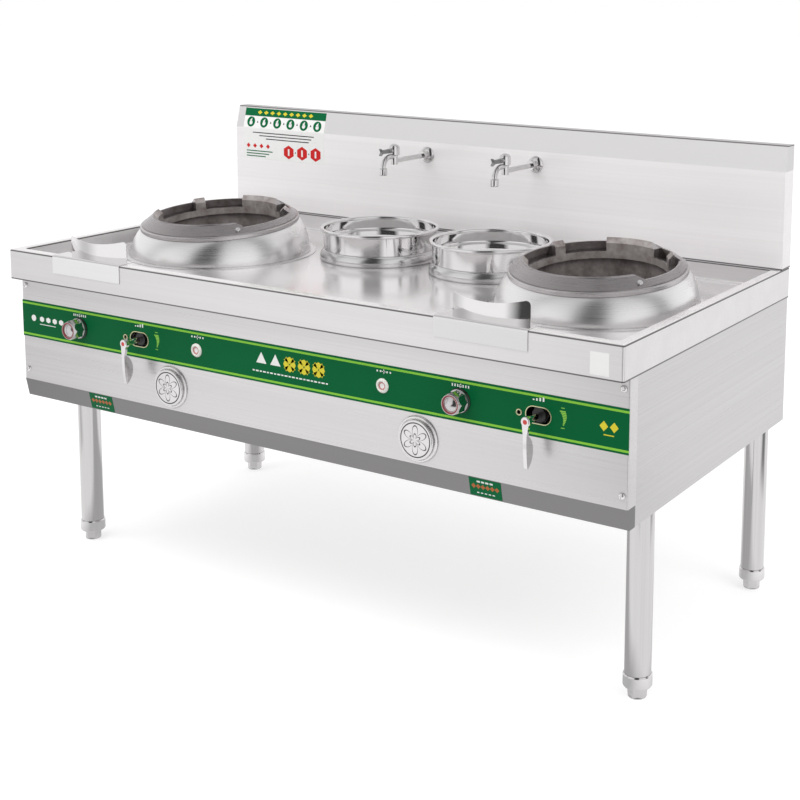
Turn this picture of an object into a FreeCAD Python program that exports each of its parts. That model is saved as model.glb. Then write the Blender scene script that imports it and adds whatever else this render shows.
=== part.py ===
import FreeCAD, Part
import math
import os
from FreeCAD import Vector

# Commercial wok range, millimetres. +X right, +Y to the back, +Z up, origin on the
# floor under the middle of the whole range.

# ---------------------------------------------------------------- overall sizes
LENGTH = 1800.0            # counter, end to end
DEPTH = 920.0              # counter, front to back
RIM_HEIGHT = 845.0         # top of the counter's raised rim
PANEL_SETBACK = 34.0       # fascia behind the front of the counter
LEVER_REACH = 56.0         # front of the levers before the fascia
SPLASH_RISE = 313.0        # backsplash above the rim

SHEET = 1.5                # panels
HEAVY_SHEET = 2.0          # counter, skirts, guards, pots
GAP = 0.3                  # between a loose piece and its seat
FIT = 0.05                 # radial running fit of stems and shafts

# ---------------------------------------------------------------- counter
APRON_HEIGHT = 78.0
RIM_WIDTH = 25.0
REAR_RIM = 57.0            # the backsplash stands on it
WELL_DEPTH = 47.0
WELL_CORNER = 14.0
RIM_RADIUS = 5.0
FRONT_RETURN = 36.0        # flange under the apron
SIDE_RETURN = 24.0
HOLE_UPSTAND = 18.0        # water lip round each burner hole

# ---------------------------------------------------------------- backsplash
SPLASH_LEAN = 17.0         # the top strip leans back this far
SPLASH_STRIP = 65.0        # height of the leaning strip

# ---------------------------------------------------------------- cabinet
FASCIA_DROP = 354.0        # bottom of the fascia below the rim
FASCIA_FLANGE = 36.0
TRIM_DROP = 47.0           # slanted strip under the fascia
TRIM_SLANT = 10.0
BAND_DROP = 237.0          # bottom of the printed control band below the rim
BAND_HEIGHT = 97.0
BAND_SHEET = 1.0
SIDE_FLANGE = 16.0
FRAME_TUBE = 40.0
FRAME_WALL = 2.5
POST = 30.0
VENT_LENGTH = 90.0
VENT_HEIGHT = 8.0
VENT_PITCH = 22.0
VENT_ROW_COUNT = 3
VENT_COLUMN_COUNT = 8

# ---------------------------------------------------------------- legs and feet
LEG_RADIUS = 30.0
LEG_INSET = 52.0           # leg axis from the end of the counter
FRONT_LEG_INSET = 200.0    # leg axis from the front of the counter
REAR_LEG_INSET = 57.0
LEG_PLATE = 90.0
LEG_PLATE_THICK = 5.0
FOOT_COLLAR_RADIUS = 33.0
FOOT_COLLAR = 27.0
FOOT_HEIGHT = 29.0
FOOT_TOP_RADIUS = 22.5
FOOT_PAD_RADIUS = 20.0
FOOT_STEM_RADIUS = 8.0
FOOT_STEM = 76.0
FOOT_FLAT_COUNT = 6

# ---------------------------------------------------------------- wok burners
BURNER_OFFSET = 594.0      # burner axis from the middle
BURNER_INSET = 460.0       # burner axis from the front of the counter
BURNER_HOLE = 200.0
SKIRT_BRIM = 15.0
SKIRT_MOUTH = 204.0
# the skirt's radius at shares of its height
SKIRT_SHAPE = ((0.0, 245.0), (0.3, 242.0), (0.62, 233.0), (0.85, 223.0), (1.0, 213.0))
RING_LEAN = 4.6            # degrees, the ring's seat rises to the back
RING_BASE = 215.0          # outer radius of the cast ring
RING_RISE = 81.0           # middle of the ring's seat above the well floor
RING_BEAD = 11.0
RING_STEP = 6.0            # the bead stands this far outside the cone
RING_LIP = 181.0           # radius of the raised lip
RING_LIP_RISE = 37.0       # lip above the seat
RING_WALL_INNER = 166.0
RING_WALL_OUTER = 172.0
RING_NOTCH_RISE = 24.0     # outer wall at the notches, above the seat
RING_SILL_RISE = 4.0       # inner wall at the notches, above the seat
RING_SKIN = 5.0            # outer wall at the notches
RING_TAIL = 14.0           # inner wall below the seat
# raised pads, in degrees from +X: front lip, left rear tab, rear pad, right rear tab
PADS = ((202.0, 332.0), (147.0, 157.0), (64.0, 111.0), (27.0, 39.0))
# pad ends that slope, and the side on which their pad lies
SLOPED_ENDS = ((332.0, -1), (64.0, 1))
PAD_SLOPE = 22.0
BOLT_ANGLE = 326.0         # degrees from +X
BOLT_RISE = 20.0           # bolt above the ring's seat
BOLT_RADIUS = 4.0
BOWL_RADIUS = 198.0
BOWL_WALL = 16.0
BOWL_DEPTH = 177.0
BOWL_MOUTH = 64.0
HEAD_RADIUS = 60.0
MIXER_RADIUS = 35.0
OUTER_JET_COUNT = 12
INNER_JET_COUNT = 6

# ---------------------------------------------------------------- flame guards
GUARD_PLACES = (-618.0, 559.0)
GUARD_WIDTH = 236.0
GUARD_MARGIN = 20.0        # strap beyond each end of the wall
GUARD_RISE = 50.0          # wall above the rim
GUARD_BOW = 320.0          # radius of the bowed wall
GUARD_DIP = 12.0           # the wall's edge dips this far in the middle
GUARD_DIP_OFFSET = -10.0
GUARD_CORNER = 9.0
GUARD_STANDOFF = 28.0      # foremost line of the wall from the counter's front
TONGUE_DROP = 45.0

# ---------------------------------------------------------------- warming pots
POT_OFFSET = 180.0
POT_INSET = 640.0
POT_RADIUS = 154.0
POT_RISE = 86.0            # rim above the well floor
POT_BEAD = 4.0
POT_LEDGE_RISE = 48.0
POT_BASIN = 96.0
POT_BASIN_DEPTH = 150.0    # basin floor below the ledge
POT_HOLE = 112.0
COLLAR_FOOT = 162.0
COLLAR_RISE = 29.0

# ---------------------------------------------------------------- taps
TAP_HEIGHT = 212.0         # pipe axis above the rim
TAP_PIPE = 159.0           # pipe from the backsplash to the valve
TAP_PIPE_RADIUS = 7.0
TAP_FLANGE_RADIUS = 23.0
TAP_BODY_RADIUS = 14.5
TAP_SPOUT_RADIUS = 7.0
TAP_SPOUT_RISE = 13.0      # spout's root above the pipe
TAP_SPOUT_REACH = 51.0     # nozzle before the body
TAP_SPOUT_BEND = 29.0
TAP_NOZZLE_RADIUS = 11.0
TAP_NOZZLE = 19.5
TAP_STEM = 3.5
TAP_STEM_RISE = 29.0       # handle's stem above the pipe
TAP_HANDLE_REACH = 46.0

# ---------------------------------------------------------------- controls
CONTROL_DROP = 189.0       # shafts below the rim
KNOB_PLACES = (-685.0, 487.0)
LEVER_PLACES = (-472.0, 685.0)
BUTTON_PLACES = (-280.0, 280.0)
KNOB_RADIUS = 26.0
KNOB_LENGTH = 34.0
KNOB_SIDE_COUNT = 8
KNOB_STEM = 5.0
SLOT_WIDTH = 60.0
SLOT_HEIGHT = 35.0
LEVER_SHAFT = 7.0
LEVER_LENGTH = 102.0
LEVER_BOSS = 11.0
EYELET_OFFSET = -47.0
EYELET_RADIUS = 7.5
BUTTON_BEZEL = 17.0
BUTTON_RADIUS = 10.0
BUTTON_TRAVEL = 4.0
COVER_PLACES = (-368.0, 377.0)
COVER_DROP = 295.0         # cover's middle below the rim
COVER_RADIUS = 53.0
VALVE_RADIUS = 16.0
VALVE_LENGTH = 60.0

# ---------------------------------------------------------------- services
MANIFOLD_RADIUS = 17.0
MANIFOLD_DROP = 58.0       # gas manifold below the control shafts
GAS_INLET_INSET = 100.0    # from the right end
WATER_PIPE_RADIUS = 11.0
WATER_INLET_DROP = 225.0   # below the rim
DRAIN_END_INSET = 100.0    # from the left end
DRAIN_INSET = 790.0        # from the front
DRAIN_RADIUS = 20.0
DRAIN_CUP = 40.0
SPIGOT_RADIUS = 17.0
SPIGOT_LENGTH = 50.0
SPIGOT_WALL = 3.0
HOSE_HOLE_RADIUS = 27.0
DUCT_HALF = 40.0
DUCT_DROP = 265.0          # top of the duct below the rim
DUCT_HEIGHT = 60.0
BLOWER_RADIUS = 75.0
BLOWER_WIDTH = 90.0
FEED_RADIUS = 8.0

# ---------------------------------------------------------------- worked out
FRONT = -(DEPTH + LEVER_REACH - PANEL_SETBACK) / 2 + LEVER_REACH - PANEL_SETBACK
REAR = FRONT + DEPTH
END = LENGTH / 2
APRON_BOTTOM = RIM_HEIGHT - APRON_HEIGHT
WELL_FLOOR = RIM_HEIGHT - WELL_DEPTH
WELL_UNDER = WELL_FLOOR - HEAVY_SHEET
WELL_BACK = REAR - REAR_RIM
SPLASH_FRONT = REAR - REAR_RIM + HEAVY_SHEET
SPLASH_TOP = RIM_HEIGHT + SPLASH_RISE
PANEL = FRONT + PANEL_SETBACK
BAND_FACE = PANEL - BAND_SHEET
FASCIA_BOTTOM = RIM_HEIGHT - FASCIA_DROP
BAND_BOTTOM = RIM_HEIGHT - BAND_DROP
CONTROL_HEIGHT = RIM_HEIGHT - CONTROL_DROP
COVER_HEIGHT = RIM_HEIGHT - COVER_DROP
MANIFOLD_HEIGHT = CONTROL_HEIGHT - MANIFOLD_DROP
DUCT_TOP = RIM_HEIGHT - DUCT_DROP
WATER_INLET_HEIGHT = RIM_HEIGHT - WATER_INLET_DROP
GAS_INLET_X = END - GAS_INLET_INSET
DRAIN_X = DRAIN_END_INSET - END
DRAIN_Y = FRONT + DRAIN_INSET
CABINET_BOTTOM = FASCIA_BOTTOM - TRIM_DROP
SIDE = END - 3.0
FRAME_BOTTOM = CABINET_BOTTOM + SHEET + LEG_PLATE_THICK
FRAME_TOP = FRAME_BOTTOM + FRAME_TUBE
LEG_X = END - LEG_INSET
LEG_FRONT = FRONT + FRONT_LEG_INSET
LEG_REAR = REAR - REAR_LEG_INSET
LEG_BOTTOM = FOOT_HEIGHT + FOOT_COLLAR + GAP
BURNER_Y = FRONT + BURNER_INSET
SEAT = WELL_FLOOR + RING_RISE
CONE_FOOT = RING_BASE - RING_STEP
CONE_RUN = CONE_FOOT - RING_LIP
CONE_CLIMB = RING_LIP_RISE - 3 - RING_BEAD - 2
BOWL_TOP = SEAT - RING_TAIL - 2
BOWL_FLOOR = BOWL_TOP - BOWL_DEPTH
POT_Y = FRONT + POT_INSET
TAP_Z = RIM_HEIGHT + TAP_HEIGHT
TAP_Y = SPLASH_FRONT - TAP_PIPE
MANIFOLD_Y = PANEL + 45.0
MANIFOLD_SEAT = MANIFOLD_HEIGHT + MANIFOLD_RADIUS + 4
FEED_LOW = DUCT_TOP + 30
FEED_END = MIXER_RADIUS + 8
LEVER_Y = PANEL - LEVER_REACH + 6.0


# ---------------------------------------------------------------- helpers
def box(x0, x1, y0, y1, z0, z1):
    return Part.makeBox(x1 - x0, y1 - y0, z1 - z0, Vector(x0, y0, z0))


def cylinder(radius, length, base, direction=Vector(0, 0, 1)):
    return Part.makeCylinder(radius, length, base, direction)


def along_y(radius, x, y0, y1, z):
    return cylinder(radius, y1 - y0, Vector(x, y0, z), Vector(0, 1, 0))


def along_x(radius, x0, x1, y, z):
    return cylinder(radius, x1 - x0, Vector(x0, y, z), Vector(1, 0, 0))


def upright(radius, x, y, z0, z1):
    return cylinder(radius, z1 - z0, Vector(x, y, z0))


def fuse(pieces):
    whole = pieces[0].multiFuse(pieces[1:])
    return whole.removeSplitter()


def edges_along(shape, axis):
    """Straight edges that run along one of the axes x, y or z."""
    chosen = []
    for edge in shape.Edges:
        if edge.Curve.TypeId != "Part::GeomLine":
            continue
        way = edge.Curve.Direction
        if abs(getattr(way, axis)) > 0.999:
            chosen.append(edge)
    return chosen


def level_edges(shape, z):
    """Edges that lie whole at the height z."""
    found = []
    for edge in shape.Edges:
        bounds = edge.BoundBox
        if abs(bounds.ZMin - z) < 0.01 and abs(bounds.ZMax - z) < 0.01:
            found.append(edge)
    return found


def outline(points):
    """A closed wire: a pair is a corner, four numbers are an arc's middle and end."""
    edges = []
    last = Vector(points[0][0], 0, points[0][1])
    for point in list(points[1:]) + [points[0]]:
        end = Vector(point[-2], 0, point[-1])
        if len(point) == 4:
            middle = Vector(point[0], 0, point[1])
            edges.append(Part.Arc(last, middle, end).toShape())
        elif (end - last).Length > 1e-6:
            edges.append(Part.LineSegment(last, end).toShape())
        last = end
    return Part.Wire(edges)


def turned(points, x, y, angle=360.0, start=0.0):
    """A profile of radius and height, revolved about the upright axis at x, y."""
    face = Part.Face(outline(points))
    solid = face.revolve(Vector(0, 0, 0), Vector(0, 0, 1), angle)
    solid.rotate(Vector(0, 0, 0), Vector(0, 0, 1), start)
    solid.translate(Vector(x, y, 0))
    return solid


def turned_along_y(points, x, z):
    """A profile of radius and depth, revolved about the line through x, z along Y."""
    face = Part.Face(outline(points))
    solid = face.revolve(Vector(0, 0, 0), Vector(0, 0, 1), 360)
    solid.rotate(Vector(0, 0, 0), Vector(1, 0, 0), -90)
    solid.translate(Vector(x, 0, z))
    return solid


def dome(radius, base, rise):
    """Middle and end of a round cap's arc, from its edge up to the axis."""
    ball = (radius * radius + rise * rise) / (2 * rise)
    middle = radius / 2
    drop = abs(ball) - math.sqrt(ball * ball - middle * middle)
    return (middle, base + rise - math.copysign(drop, rise), 0, base + rise)


def folded(points, x0, x1):
    """A section of y and z, carried along X from x0 to x1."""
    flat = outline(points)
    flat.rotate(Vector(0, 0, 0), Vector(0, 0, 1), 90)
    flat.translate(Vector(x0, 0, 0))
    return Part.Face(flat).extrude(Vector(x1 - x0, 0, 0))


def slot_bar(width, height, x, z, y0, y1):
    """A bar with round ends, lying along Y."""
    half = (width - height) / 2
    bar = box(x - half, x + half, y0, y1, z - height / 2, z + height / 2)
    left = along_y(height / 2, x - half, y0, y1, z)
    right = along_y(height / 2, x + half, y0, y1, z)
    return fuse([bar, left, right])


def save(name, shape):
    shape.exportStep(os.path.join("parts", name + ".step"))


# ---------------------------------------------------------------- counter
def counter_top():
    body = box(-END, END, FRONT, REAR, APRON_BOTTOM, RIM_HEIGHT)
    body = body.makeFillet(RIM_RADIUS, edges_along(body, "z"))
    body = body.makeFillet(RIM_RADIUS, level_edges(body, RIM_HEIGHT))
    well = box(-END + RIM_WIDTH, END - RIM_WIDTH, FRONT + RIM_WIDTH, WELL_BACK,
               WELL_FLOOR, RIM_HEIGHT + 1)
    well = well.makeFillet(WELL_CORNER, edges_along(well, "z"))
    well = well.makeFillet(WELL_CORNER / 2, level_edges(well, WELL_FLOOR))
    shell = box(-END + RIM_WIDTH - HEAVY_SHEET, END - RIM_WIDTH + HEAVY_SHEET,
                FRONT + RIM_WIDTH - HEAVY_SHEET, WELL_BACK + HEAVY_SHEET,
                WELL_UNDER, RIM_HEIGHT)
    shell = shell.makeFillet(WELL_CORNER + HEAVY_SHEET, edges_along(shell, "z"))
    shell = shell.makeFillet(WELL_CORNER / 2 + HEAVY_SHEET, level_edges(shell, WELL_UNDER))
    hollow = box(-END + HEAVY_SHEET, END - HEAVY_SHEET, FRONT + HEAVY_SHEET,
                 REAR - HEAVY_SHEET, APRON_BOTTOM + HEAVY_SHEET, RIM_HEIGHT - HEAVY_SHEET)
    hollow = hollow.makeFillet(RIM_RADIUS - HEAVY_SHEET, edges_along(hollow, "z"))
    mouth = box(-END + SIDE_RETURN, END - SIDE_RETURN, FRONT + FRONT_RETURN,
                REAR - SIDE_RETURN, APRON_BOTTOM - 1, APRON_BOTTOM + HEAVY_SHEET)
    body = body.cut(hollow.cut(shell)).cut(mouth).cut(well)
    for side in (-1, 1):
        x = side * BURNER_OFFSET
        lip = turned(((BURNER_HOLE, WELL_UNDER), (BURNER_HOLE + HEAVY_SHEET, WELL_UNDER),
                      (BURNER_HOLE + HEAVY_SHEET, WELL_FLOOR + HOLE_UPSTAND),
                      (BURNER_HOLE, WELL_FLOOR + HOLE_UPSTAND)), x, BURNER_Y)
        body = body.cut(upright(BURNER_HOLE, x, BURNER_Y, WELL_UNDER - 1, RIM_HEIGHT))
        body = body.fuse(lip)
        body = body.cut(upright(POT_HOLE, side * POT_OFFSET, POT_Y, WELL_UNDER - 1, RIM_HEIGHT))
    body = body.cut(upright(DRAIN_RADIUS + GAP, DRAIN_X, DRAIN_Y, WELL_UNDER - 1, RIM_HEIGHT))
    pipe_y = REAR - REAR_RIM / 2
    body = body.cut(upright(WATER_PIPE_RADIUS + 2, 0, pipe_y, APRON_BOTTOM, RIM_HEIGHT + 1))
    return body.removeSplitter()


def backsplash():
    section = ((SPLASH_FRONT, RIM_HEIGHT), (SPLASH_FRONT, SPLASH_TOP - SPLASH_STRIP),
               (SPLASH_FRONT + SPLASH_LEAN, SPLASH_TOP), (REAR, SPLASH_TOP), (REAR, RIM_HEIGHT))
    body = folded(section, -END, END)
    soft = [e for e in edges_along(body, "x") if e.BoundBox.ZMin > RIM_HEIGHT + 1]
    body = body.makeFillet(3.0, soft)
    inner = ((SPLASH_FRONT + SHEET, RIM_HEIGHT - 1),
             (SPLASH_FRONT + SHEET, SPLASH_TOP - SPLASH_STRIP),
             (SPLASH_FRONT + SPLASH_LEAN + SHEET, SPLASH_TOP - SHEET),
             (REAR - SHEET, SPLASH_TOP - SHEET), (REAR - SHEET, RIM_HEIGHT - 1))
    body = body.cut(folded(inner, -END + SHEET, END - SHEET))
    for side in (-1, 1):
        body = body.cut(along_y(TAP_PIPE_RADIUS + 1, side * POT_OFFSET,
                                SPLASH_FRONT - 1, SPLASH_FRONT + SHEET + 1, TAP_Z))
    return body


# ---------------------------------------------------------------- cabinet
def control_holes(y0, y1):
    """The openings that pass through the fascia and the band alike."""
    cuts = []
    for x in KNOB_PLACES:
        cuts.append(along_y(KNOB_STEM + 1.5, x, y0, y1, CONTROL_HEIGHT))
    for x in LEVER_PLACES:
        cuts.append(slot_bar(SLOT_WIDTH, SLOT_HEIGHT, x, CONTROL_HEIGHT, y0, y1))
        cuts.append(along_y(EYELET_RADIUS - 2.5, x + EYELET_OFFSET, y0, y1, CONTROL_HEIGHT))
    for x in BUTTON_PLACES:
        cuts.append(along_y(BUTTON_RADIUS + 3.0, x, y0, y1, CONTROL_HEIGHT))
    return cuts


def front_panel():
    end = END - 2.0
    body = box(-end, end, PANEL, PANEL + FASCIA_FLANGE, FASCIA_BOTTOM, APRON_BOTTOM)
    body = body.makeFillet(2.5, [e for e in edges_along(body, "z") if e.BoundBox.YMax < PANEL + 1])
    inside = box(-end + SHEET, end - SHEET, PANEL + SHEET, PANEL + FASCIA_FLANGE + 1,
                 FASCIA_BOTTOM + SHEET, APRON_BOTTOM - SHEET)
    body = body.cut(inside)
    for cut in control_holes(PANEL - 1, PANEL + SHEET + 1):
        body = body.cut(cut)
    for x in COVER_PLACES:
        body = body.cut(along_y(COVER_RADIUS - 20, x, PANEL - 1, PANEL + SHEET + 1, COVER_HEIGHT))
    return body


def control_band():
    end = END - 2.0
    body = box(-end, end, BAND_FACE, PANEL, BAND_BOTTOM, BAND_BOTTOM + BAND_HEIGHT)
    for cut in control_holes(BAND_FACE - 1, PANEL + 1):
        body = body.cut(cut)
    return body


def lower_trim_strip():
    back = PANEL + TRIM_SLANT
    top = FASCIA_BOTTOM
    bottom = CABINET_BOTTOM
    section = ((PANEL, top), (PANEL + FASCIA_FLANGE - 2, top),
               (PANEL + FASCIA_FLANGE - 2, top - SHEET), (PANEL + SHEET, top - SHEET),
               (back + SHEET, bottom + SHEET), (back + 14, bottom + SHEET),
               (back + 14, bottom), (back, bottom))
    strip = folded(section, -END + 2, END - 2)
    cap = ((PANEL, top), (PANEL + FASCIA_FLANGE - 2, top),
           (PANEL + FASCIA_FLANGE - 2, bottom), (back, bottom))
    left_cap = folded(cap, -END + 2, -END + 2 + SHEET)
    right_cap = folded(cap, END - 2 - SHEET, END - 2)
    return fuse([strip, left_cap, right_cap])


def side_panel(side):
    front = PANEL + FASCIA_FLANGE + GAP
    rear = REAR - HEAVY_SHEET
    body = box(SIDE - SIDE_FLANGE, SIDE, front, rear, CABINET_BOTTOM, APRON_BOTTOM)
    inside = box(SIDE - SIDE_FLANGE - 1, SIDE - SHEET, front + SHEET, rear - SHEET,
                 CABINET_BOTTOM + SHEET, APRON_BOTTOM + 1)
    body = body.cut(inside)
    if side < 0:
        body = body.mirror(Vector(0, 0, 0), Vector(1, 0, 0))
    return body


def back_panel():
    end = SIDE - SIDE_FLANGE - GAP
    rear = REAR - HEAVY_SHEET
    body = box(-end, end, rear - SHEET, rear, CABINET_BOTTOM + SHEET, APRON_BOTTOM)
    for row in range(VENT_ROW_COUNT):
        for column in range(VENT_COLUMN_COUNT):
            x = (column - (VENT_COLUMN_COUNT - 1) / 2) * (VENT_LENGTH * 1.6)
            z = CABINET_BOTTOM + 60 + row * VENT_PITCH
            body = body.cut(slot_bar(VENT_LENGTH, VENT_HEIGHT, x, z, rear - SHEET - 1, rear + 1))
    body = body.cut(along_y(MANIFOLD_RADIUS + 6, GAS_INLET_X, rear - SHEET - 1, rear + 1,
                            MANIFOLD_HEIGHT))
    body = body.cut(along_y(WATER_PIPE_RADIUS + 6, 0, rear - SHEET - 1, rear + 1,
                            WATER_INLET_HEIGHT))
    return body


def leg_places():
    places = {}
    for side, across in (("left", -LEG_X), ("right", LEG_X)):
        places["front_" + side] = (across, LEG_FRONT)
        places["rear_" + side] = (across, LEG_REAR)
    return places


def bottom_panel():
    end = SIDE - SIDE_FLANGE - GAP
    front = PANEL + TRIM_SLANT + 14 + GAP
    body = box(-end, end, front, REAR - HEAVY_SHEET - SHEET - GAP,
               CABINET_BOTTOM, CABINET_BOTTOM + SHEET)
    for x, y in leg_places().values():
        body = body.cut(upright(LEG_RADIUS + GAP, x, y, CABINET_BOTTOM - 1,
                                CABINET_BOTTOM + SHEET + 1))
    return body.cut(upright(HOSE_HOLE_RADIUS, DRAIN_X, DRAIN_Y, CABINET_BOTTOM - 1,
                            CABINET_BOTTOM + SHEET + 1))


def square_tube(x0, x1, y0, y1, z0, z1, axis):
    """The outside and the inside of a square tube that runs along one axis."""
    wall = FRAME_WALL
    lows = [x0 + wall, y0 + wall, z0 + wall]
    highs = [x1 - wall, y1 - wall, z1 - wall]
    lows[axis] = (x0, y0, z0)[axis] - 1
    highs[axis] = (x1, y1, z1)[axis] + 1
    inside = box(lows[0], highs[0], lows[1], highs[1], lows[2], highs[2])
    return box(x0, x1, y0, y1, z0, z1), inside


def base_frame():
    half = FRAME_TUBE / 2
    near = PANEL + FASCIA_FLANGE + 40
    far = REAR - 30
    tubes = []
    for y in (LEG_FRONT, LEG_REAR):
        tubes.append(square_tube(-LEG_X - half, LEG_X + half, y - half, y + half,
                                 FRAME_BOTTOM, FRAME_TOP, 0))
    mid = BURNER_OFFSET / 2
    for x in (-LEG_X, -mid, mid, LEG_X):
        tubes.append(square_tube(x - half, x + half, near, far, FRAME_BOTTOM, FRAME_TOP, 1))
        for y in (near + 5, far - POST - 5):
            tubes.append(square_tube(x - POST / 2, x + POST / 2, y, y + POST,
                                     FRAME_TOP - FRAME_WALL, WELL_UNDER, 2))
    frame = fuse([outer for outer, inner in tubes])
    for outer, inner in tubes:
        frame = frame.cut(inner.common(outer) if inner.BoundBox.ZMax > WELL_UNDER else inner)
    return frame


# ---------------------------------------------------------------- legs and feet
def leg(x, y):
    top = CABINET_BOTTOM + SHEET
    plate = LEG_PLATE / 2
    tube = upright(LEG_RADIUS, x, y, LEG_BOTTOM, top)
    tube = tube.cut(upright(LEG_RADIUS - SHEET, x, y, LEG_BOTTOM + 12, top + 1))
    flange = box(x - plate, x + plate, y - plate, y + plate, top, top + LEG_PLATE_THICK)
    flange = flange.makeFillet(8.0, edges_along(flange, "z"))
    body = fuse([tube, flange])
    return body.cut(upright(FOOT_STEM_RADIUS + FIT, x, y, LEG_BOTTOM - 1, LEG_BOTTOM + 13))


def foot(x, y):
    knee = FOOT_HEIGHT - 3
    top = FOOT_HEIGHT + FOOT_COLLAR
    profile = ((0, 0), (FOOT_PAD_RADIUS, 0), (FOOT_PAD_RADIUS + 1, 2), (FOOT_TOP_RADIUS, knee),
               (FOOT_COLLAR_RADIUS - 2, knee), (FOOT_COLLAR_RADIUS, knee + 3),
               (FOOT_COLLAR_RADIUS, top - 3), (FOOT_COLLAR_RADIUS - 2, top),
               (FOOT_STEM_RADIUS, top), (FOOT_STEM_RADIUS, top + FOOT_STEM),
               (FOOT_STEM_RADIUS - 2, top + FOOT_STEM + 2), (0, top + FOOT_STEM + 2))
    body = turned(profile, x, y)
    for step in range(FOOT_FLAT_COUNT):
        flat = box(FOOT_PAD_RADIUS - 1.0, FOOT_COLLAR_RADIUS + 5, -20, 20, 3, knee - 2)
        flat.rotate(Vector(0, 0, 0), Vector(0, 0, 1), step * 360 / FOOT_FLAT_COUNT)
        flat.translate(Vector(x, y, 0))
        body = body.cut(flat)
    return body


# ---------------------------------------------------------------- wok burners
def leaned(shape, x):
    """A shape made level, turned about the middle of the burner's seat to lean with it."""
    shape.rotate(Vector(x, BURNER_Y, SEAT), Vector(1, 0, 0), RING_LEAN)
    return shape


def skirt_section(x, share, radius):
    """One level or leaning circle of the skirt, at a share of its height."""
    height = WELL_FLOOR + share * (RING_RISE - GAP)
    circle = Part.Wire([Part.Circle(Vector(x, BURNER_Y, height), Vector(0, 0, 1),
                                    radius).toShape()])
    circle.rotate(Vector(x, BURNER_Y, height), Vector(1, 0, 0), share * RING_LEAN)
    return circle


def burner_skirt(x):
    """Spun skirt: level at the well floor, leaning at the seat of the cast ring."""
    outer = Part.makeLoft([skirt_section(x, share, radius) for share, radius in SKIRT_SHAPE], True)
    inner = Part.makeLoft([skirt_section(x, share, radius - HEAVY_SHEET)
                           for share, radius in SKIRT_SHAPE], True)
    inner.translate(Vector(0, 0, -HEAVY_SHEET))
    dome = outer.cut(inner)
    mouth = leaned(upright(SKIRT_MOUTH, x, BURNER_Y, SEAT - 20, SEAT + 20), x)
    foot = SKIRT_SHAPE[0][1]
    root = foot - HEAVY_SHEET / 2
    brim = turned(((root, WELL_FLOOR), (foot + SKIRT_BRIM, WELL_FLOOR),
                   (foot + SKIRT_BRIM, WELL_FLOOR + HEAVY_SHEET), (root, WELL_FLOOR + HEAVY_SHEET)),
                  x, BURNER_Y)
    return dome.cut(mouth).fuse(brim)


def ring_solid(x):
    """The cast ring before its notches: a cone outside, a straight wall inside."""
    bead = SEAT + RING_BEAD
    lip = SEAT + RING_LIP_RISE
    profile = ((RING_BASE, SEAT), (RING_BASE, bead - 3), (RING_BASE - 1, bead - 1, RING_BASE - 3, bead),
               (CONE_FOOT, bead), (CONE_FOOT, bead + 2), (RING_LIP, lip - 3),
               (RING_LIP - 1, lip - 0.8, RING_LIP - 3, lip), (RING_WALL_INNER + 3, lip - 9),
               (RING_WALL_INNER, lip - 12), (RING_WALL_INNER, SEAT - RING_TAIL),
               (RING_WALL_OUTER, SEAT - RING_TAIL), (RING_WALL_OUTER, SEAT))
    return turned(profile, x, BURNER_Y)


def cone_radius(rise):
    """Radius of the ring's cone at a height above its seat."""
    return CONE_FOOT - (rise - RING_BEAD - 2) * CONE_RUN / CONE_CLIMB


def notch_profile():
    """What a notch takes away, in radius and height."""
    sill = SEAT + RING_SILL_RISE
    trough = sill - 3
    outer_top = SEAT + RING_NOTCH_RISE
    low_skin = cone_radius(trough - SEAT) - RING_SKIN
    high_skin = cone_radius(RING_NOTCH_RISE) - RING_SKIN
    above = SEAT + RING_LIP_RISE + 5
    return ((RING_WALL_INNER - 5, sill), (RING_WALL_OUTER, sill), (RING_WALL_OUTER, trough),
            (min(low_skin, CONE_FOOT - RING_SKIN), trough), (high_skin, outer_top),
            (RING_BASE + 5, outer_top), (RING_BASE + 5, above), (RING_WALL_INNER - 5, above))


def pad_slope(angle, toward):
    """A wedge that slopes a pad's top down to the notch beside it."""
    drop = RING_LIP_RISE - RING_NOTCH_RISE
    tilt = math.degrees(math.atan2(drop, PAD_SLOPE))
    reach = 2 * PAD_SLOPE * toward
    wedge = box(RING_WALL_INNER - 10, RING_BASE + 10, min(0, reach), max(0, reach), 0, 30)
    wedge.rotate(Vector(0, 0, 0), Vector(1, 0, 0), tilt * toward)
    wedge.translate(Vector(0, 0, SEAT + RING_NOTCH_RISE))
    wedge.rotate(Vector(0, 0, 0), Vector(0, 0, 1), angle)
    return wedge


def wok_ring(x):
    """Cast ring whose lip and pads carry the wok, with notches that let the fumes out."""
    ring = ring_solid(x)
    cutters = [bolt_hole(x)]
    for index, (start, end) in enumerate(PADS):
        following = PADS[index - 1][0] % 360
        cutters.append(turned(notch_profile(), x, BURNER_Y, (following - end) % 360, end))
    for angle, toward in SLOPED_ENDS:
        wedge = pad_slope(angle, toward)
        wedge.translate(Vector(x, BURNER_Y, 0))
        cutters.append(wedge)
    for cutter in cutters:
        ring = ring.cut(cutter)
    return leaned(ring, x)


def bolt_spot(x):
    """Where the ring's clamping bolt stands on the cone, and the way it points."""
    angle = math.radians(BOLT_ANGLE)
    out = Vector(math.cos(angle), math.sin(angle), 0)
    spot = Vector(x, BURNER_Y, SEAT + BOLT_RISE) + out * cone_radius(BOLT_RISE)
    slope = math.atan2(CONE_RUN, CONE_CLIMB)
    return spot, out * math.cos(slope) + Vector(0, 0, math.sin(slope))


def bolt_hole(x):
    spot, way = bolt_spot(x)
    return cylinder(BOLT_RADIUS, 16.0, spot - way * 14.0, way)


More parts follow.
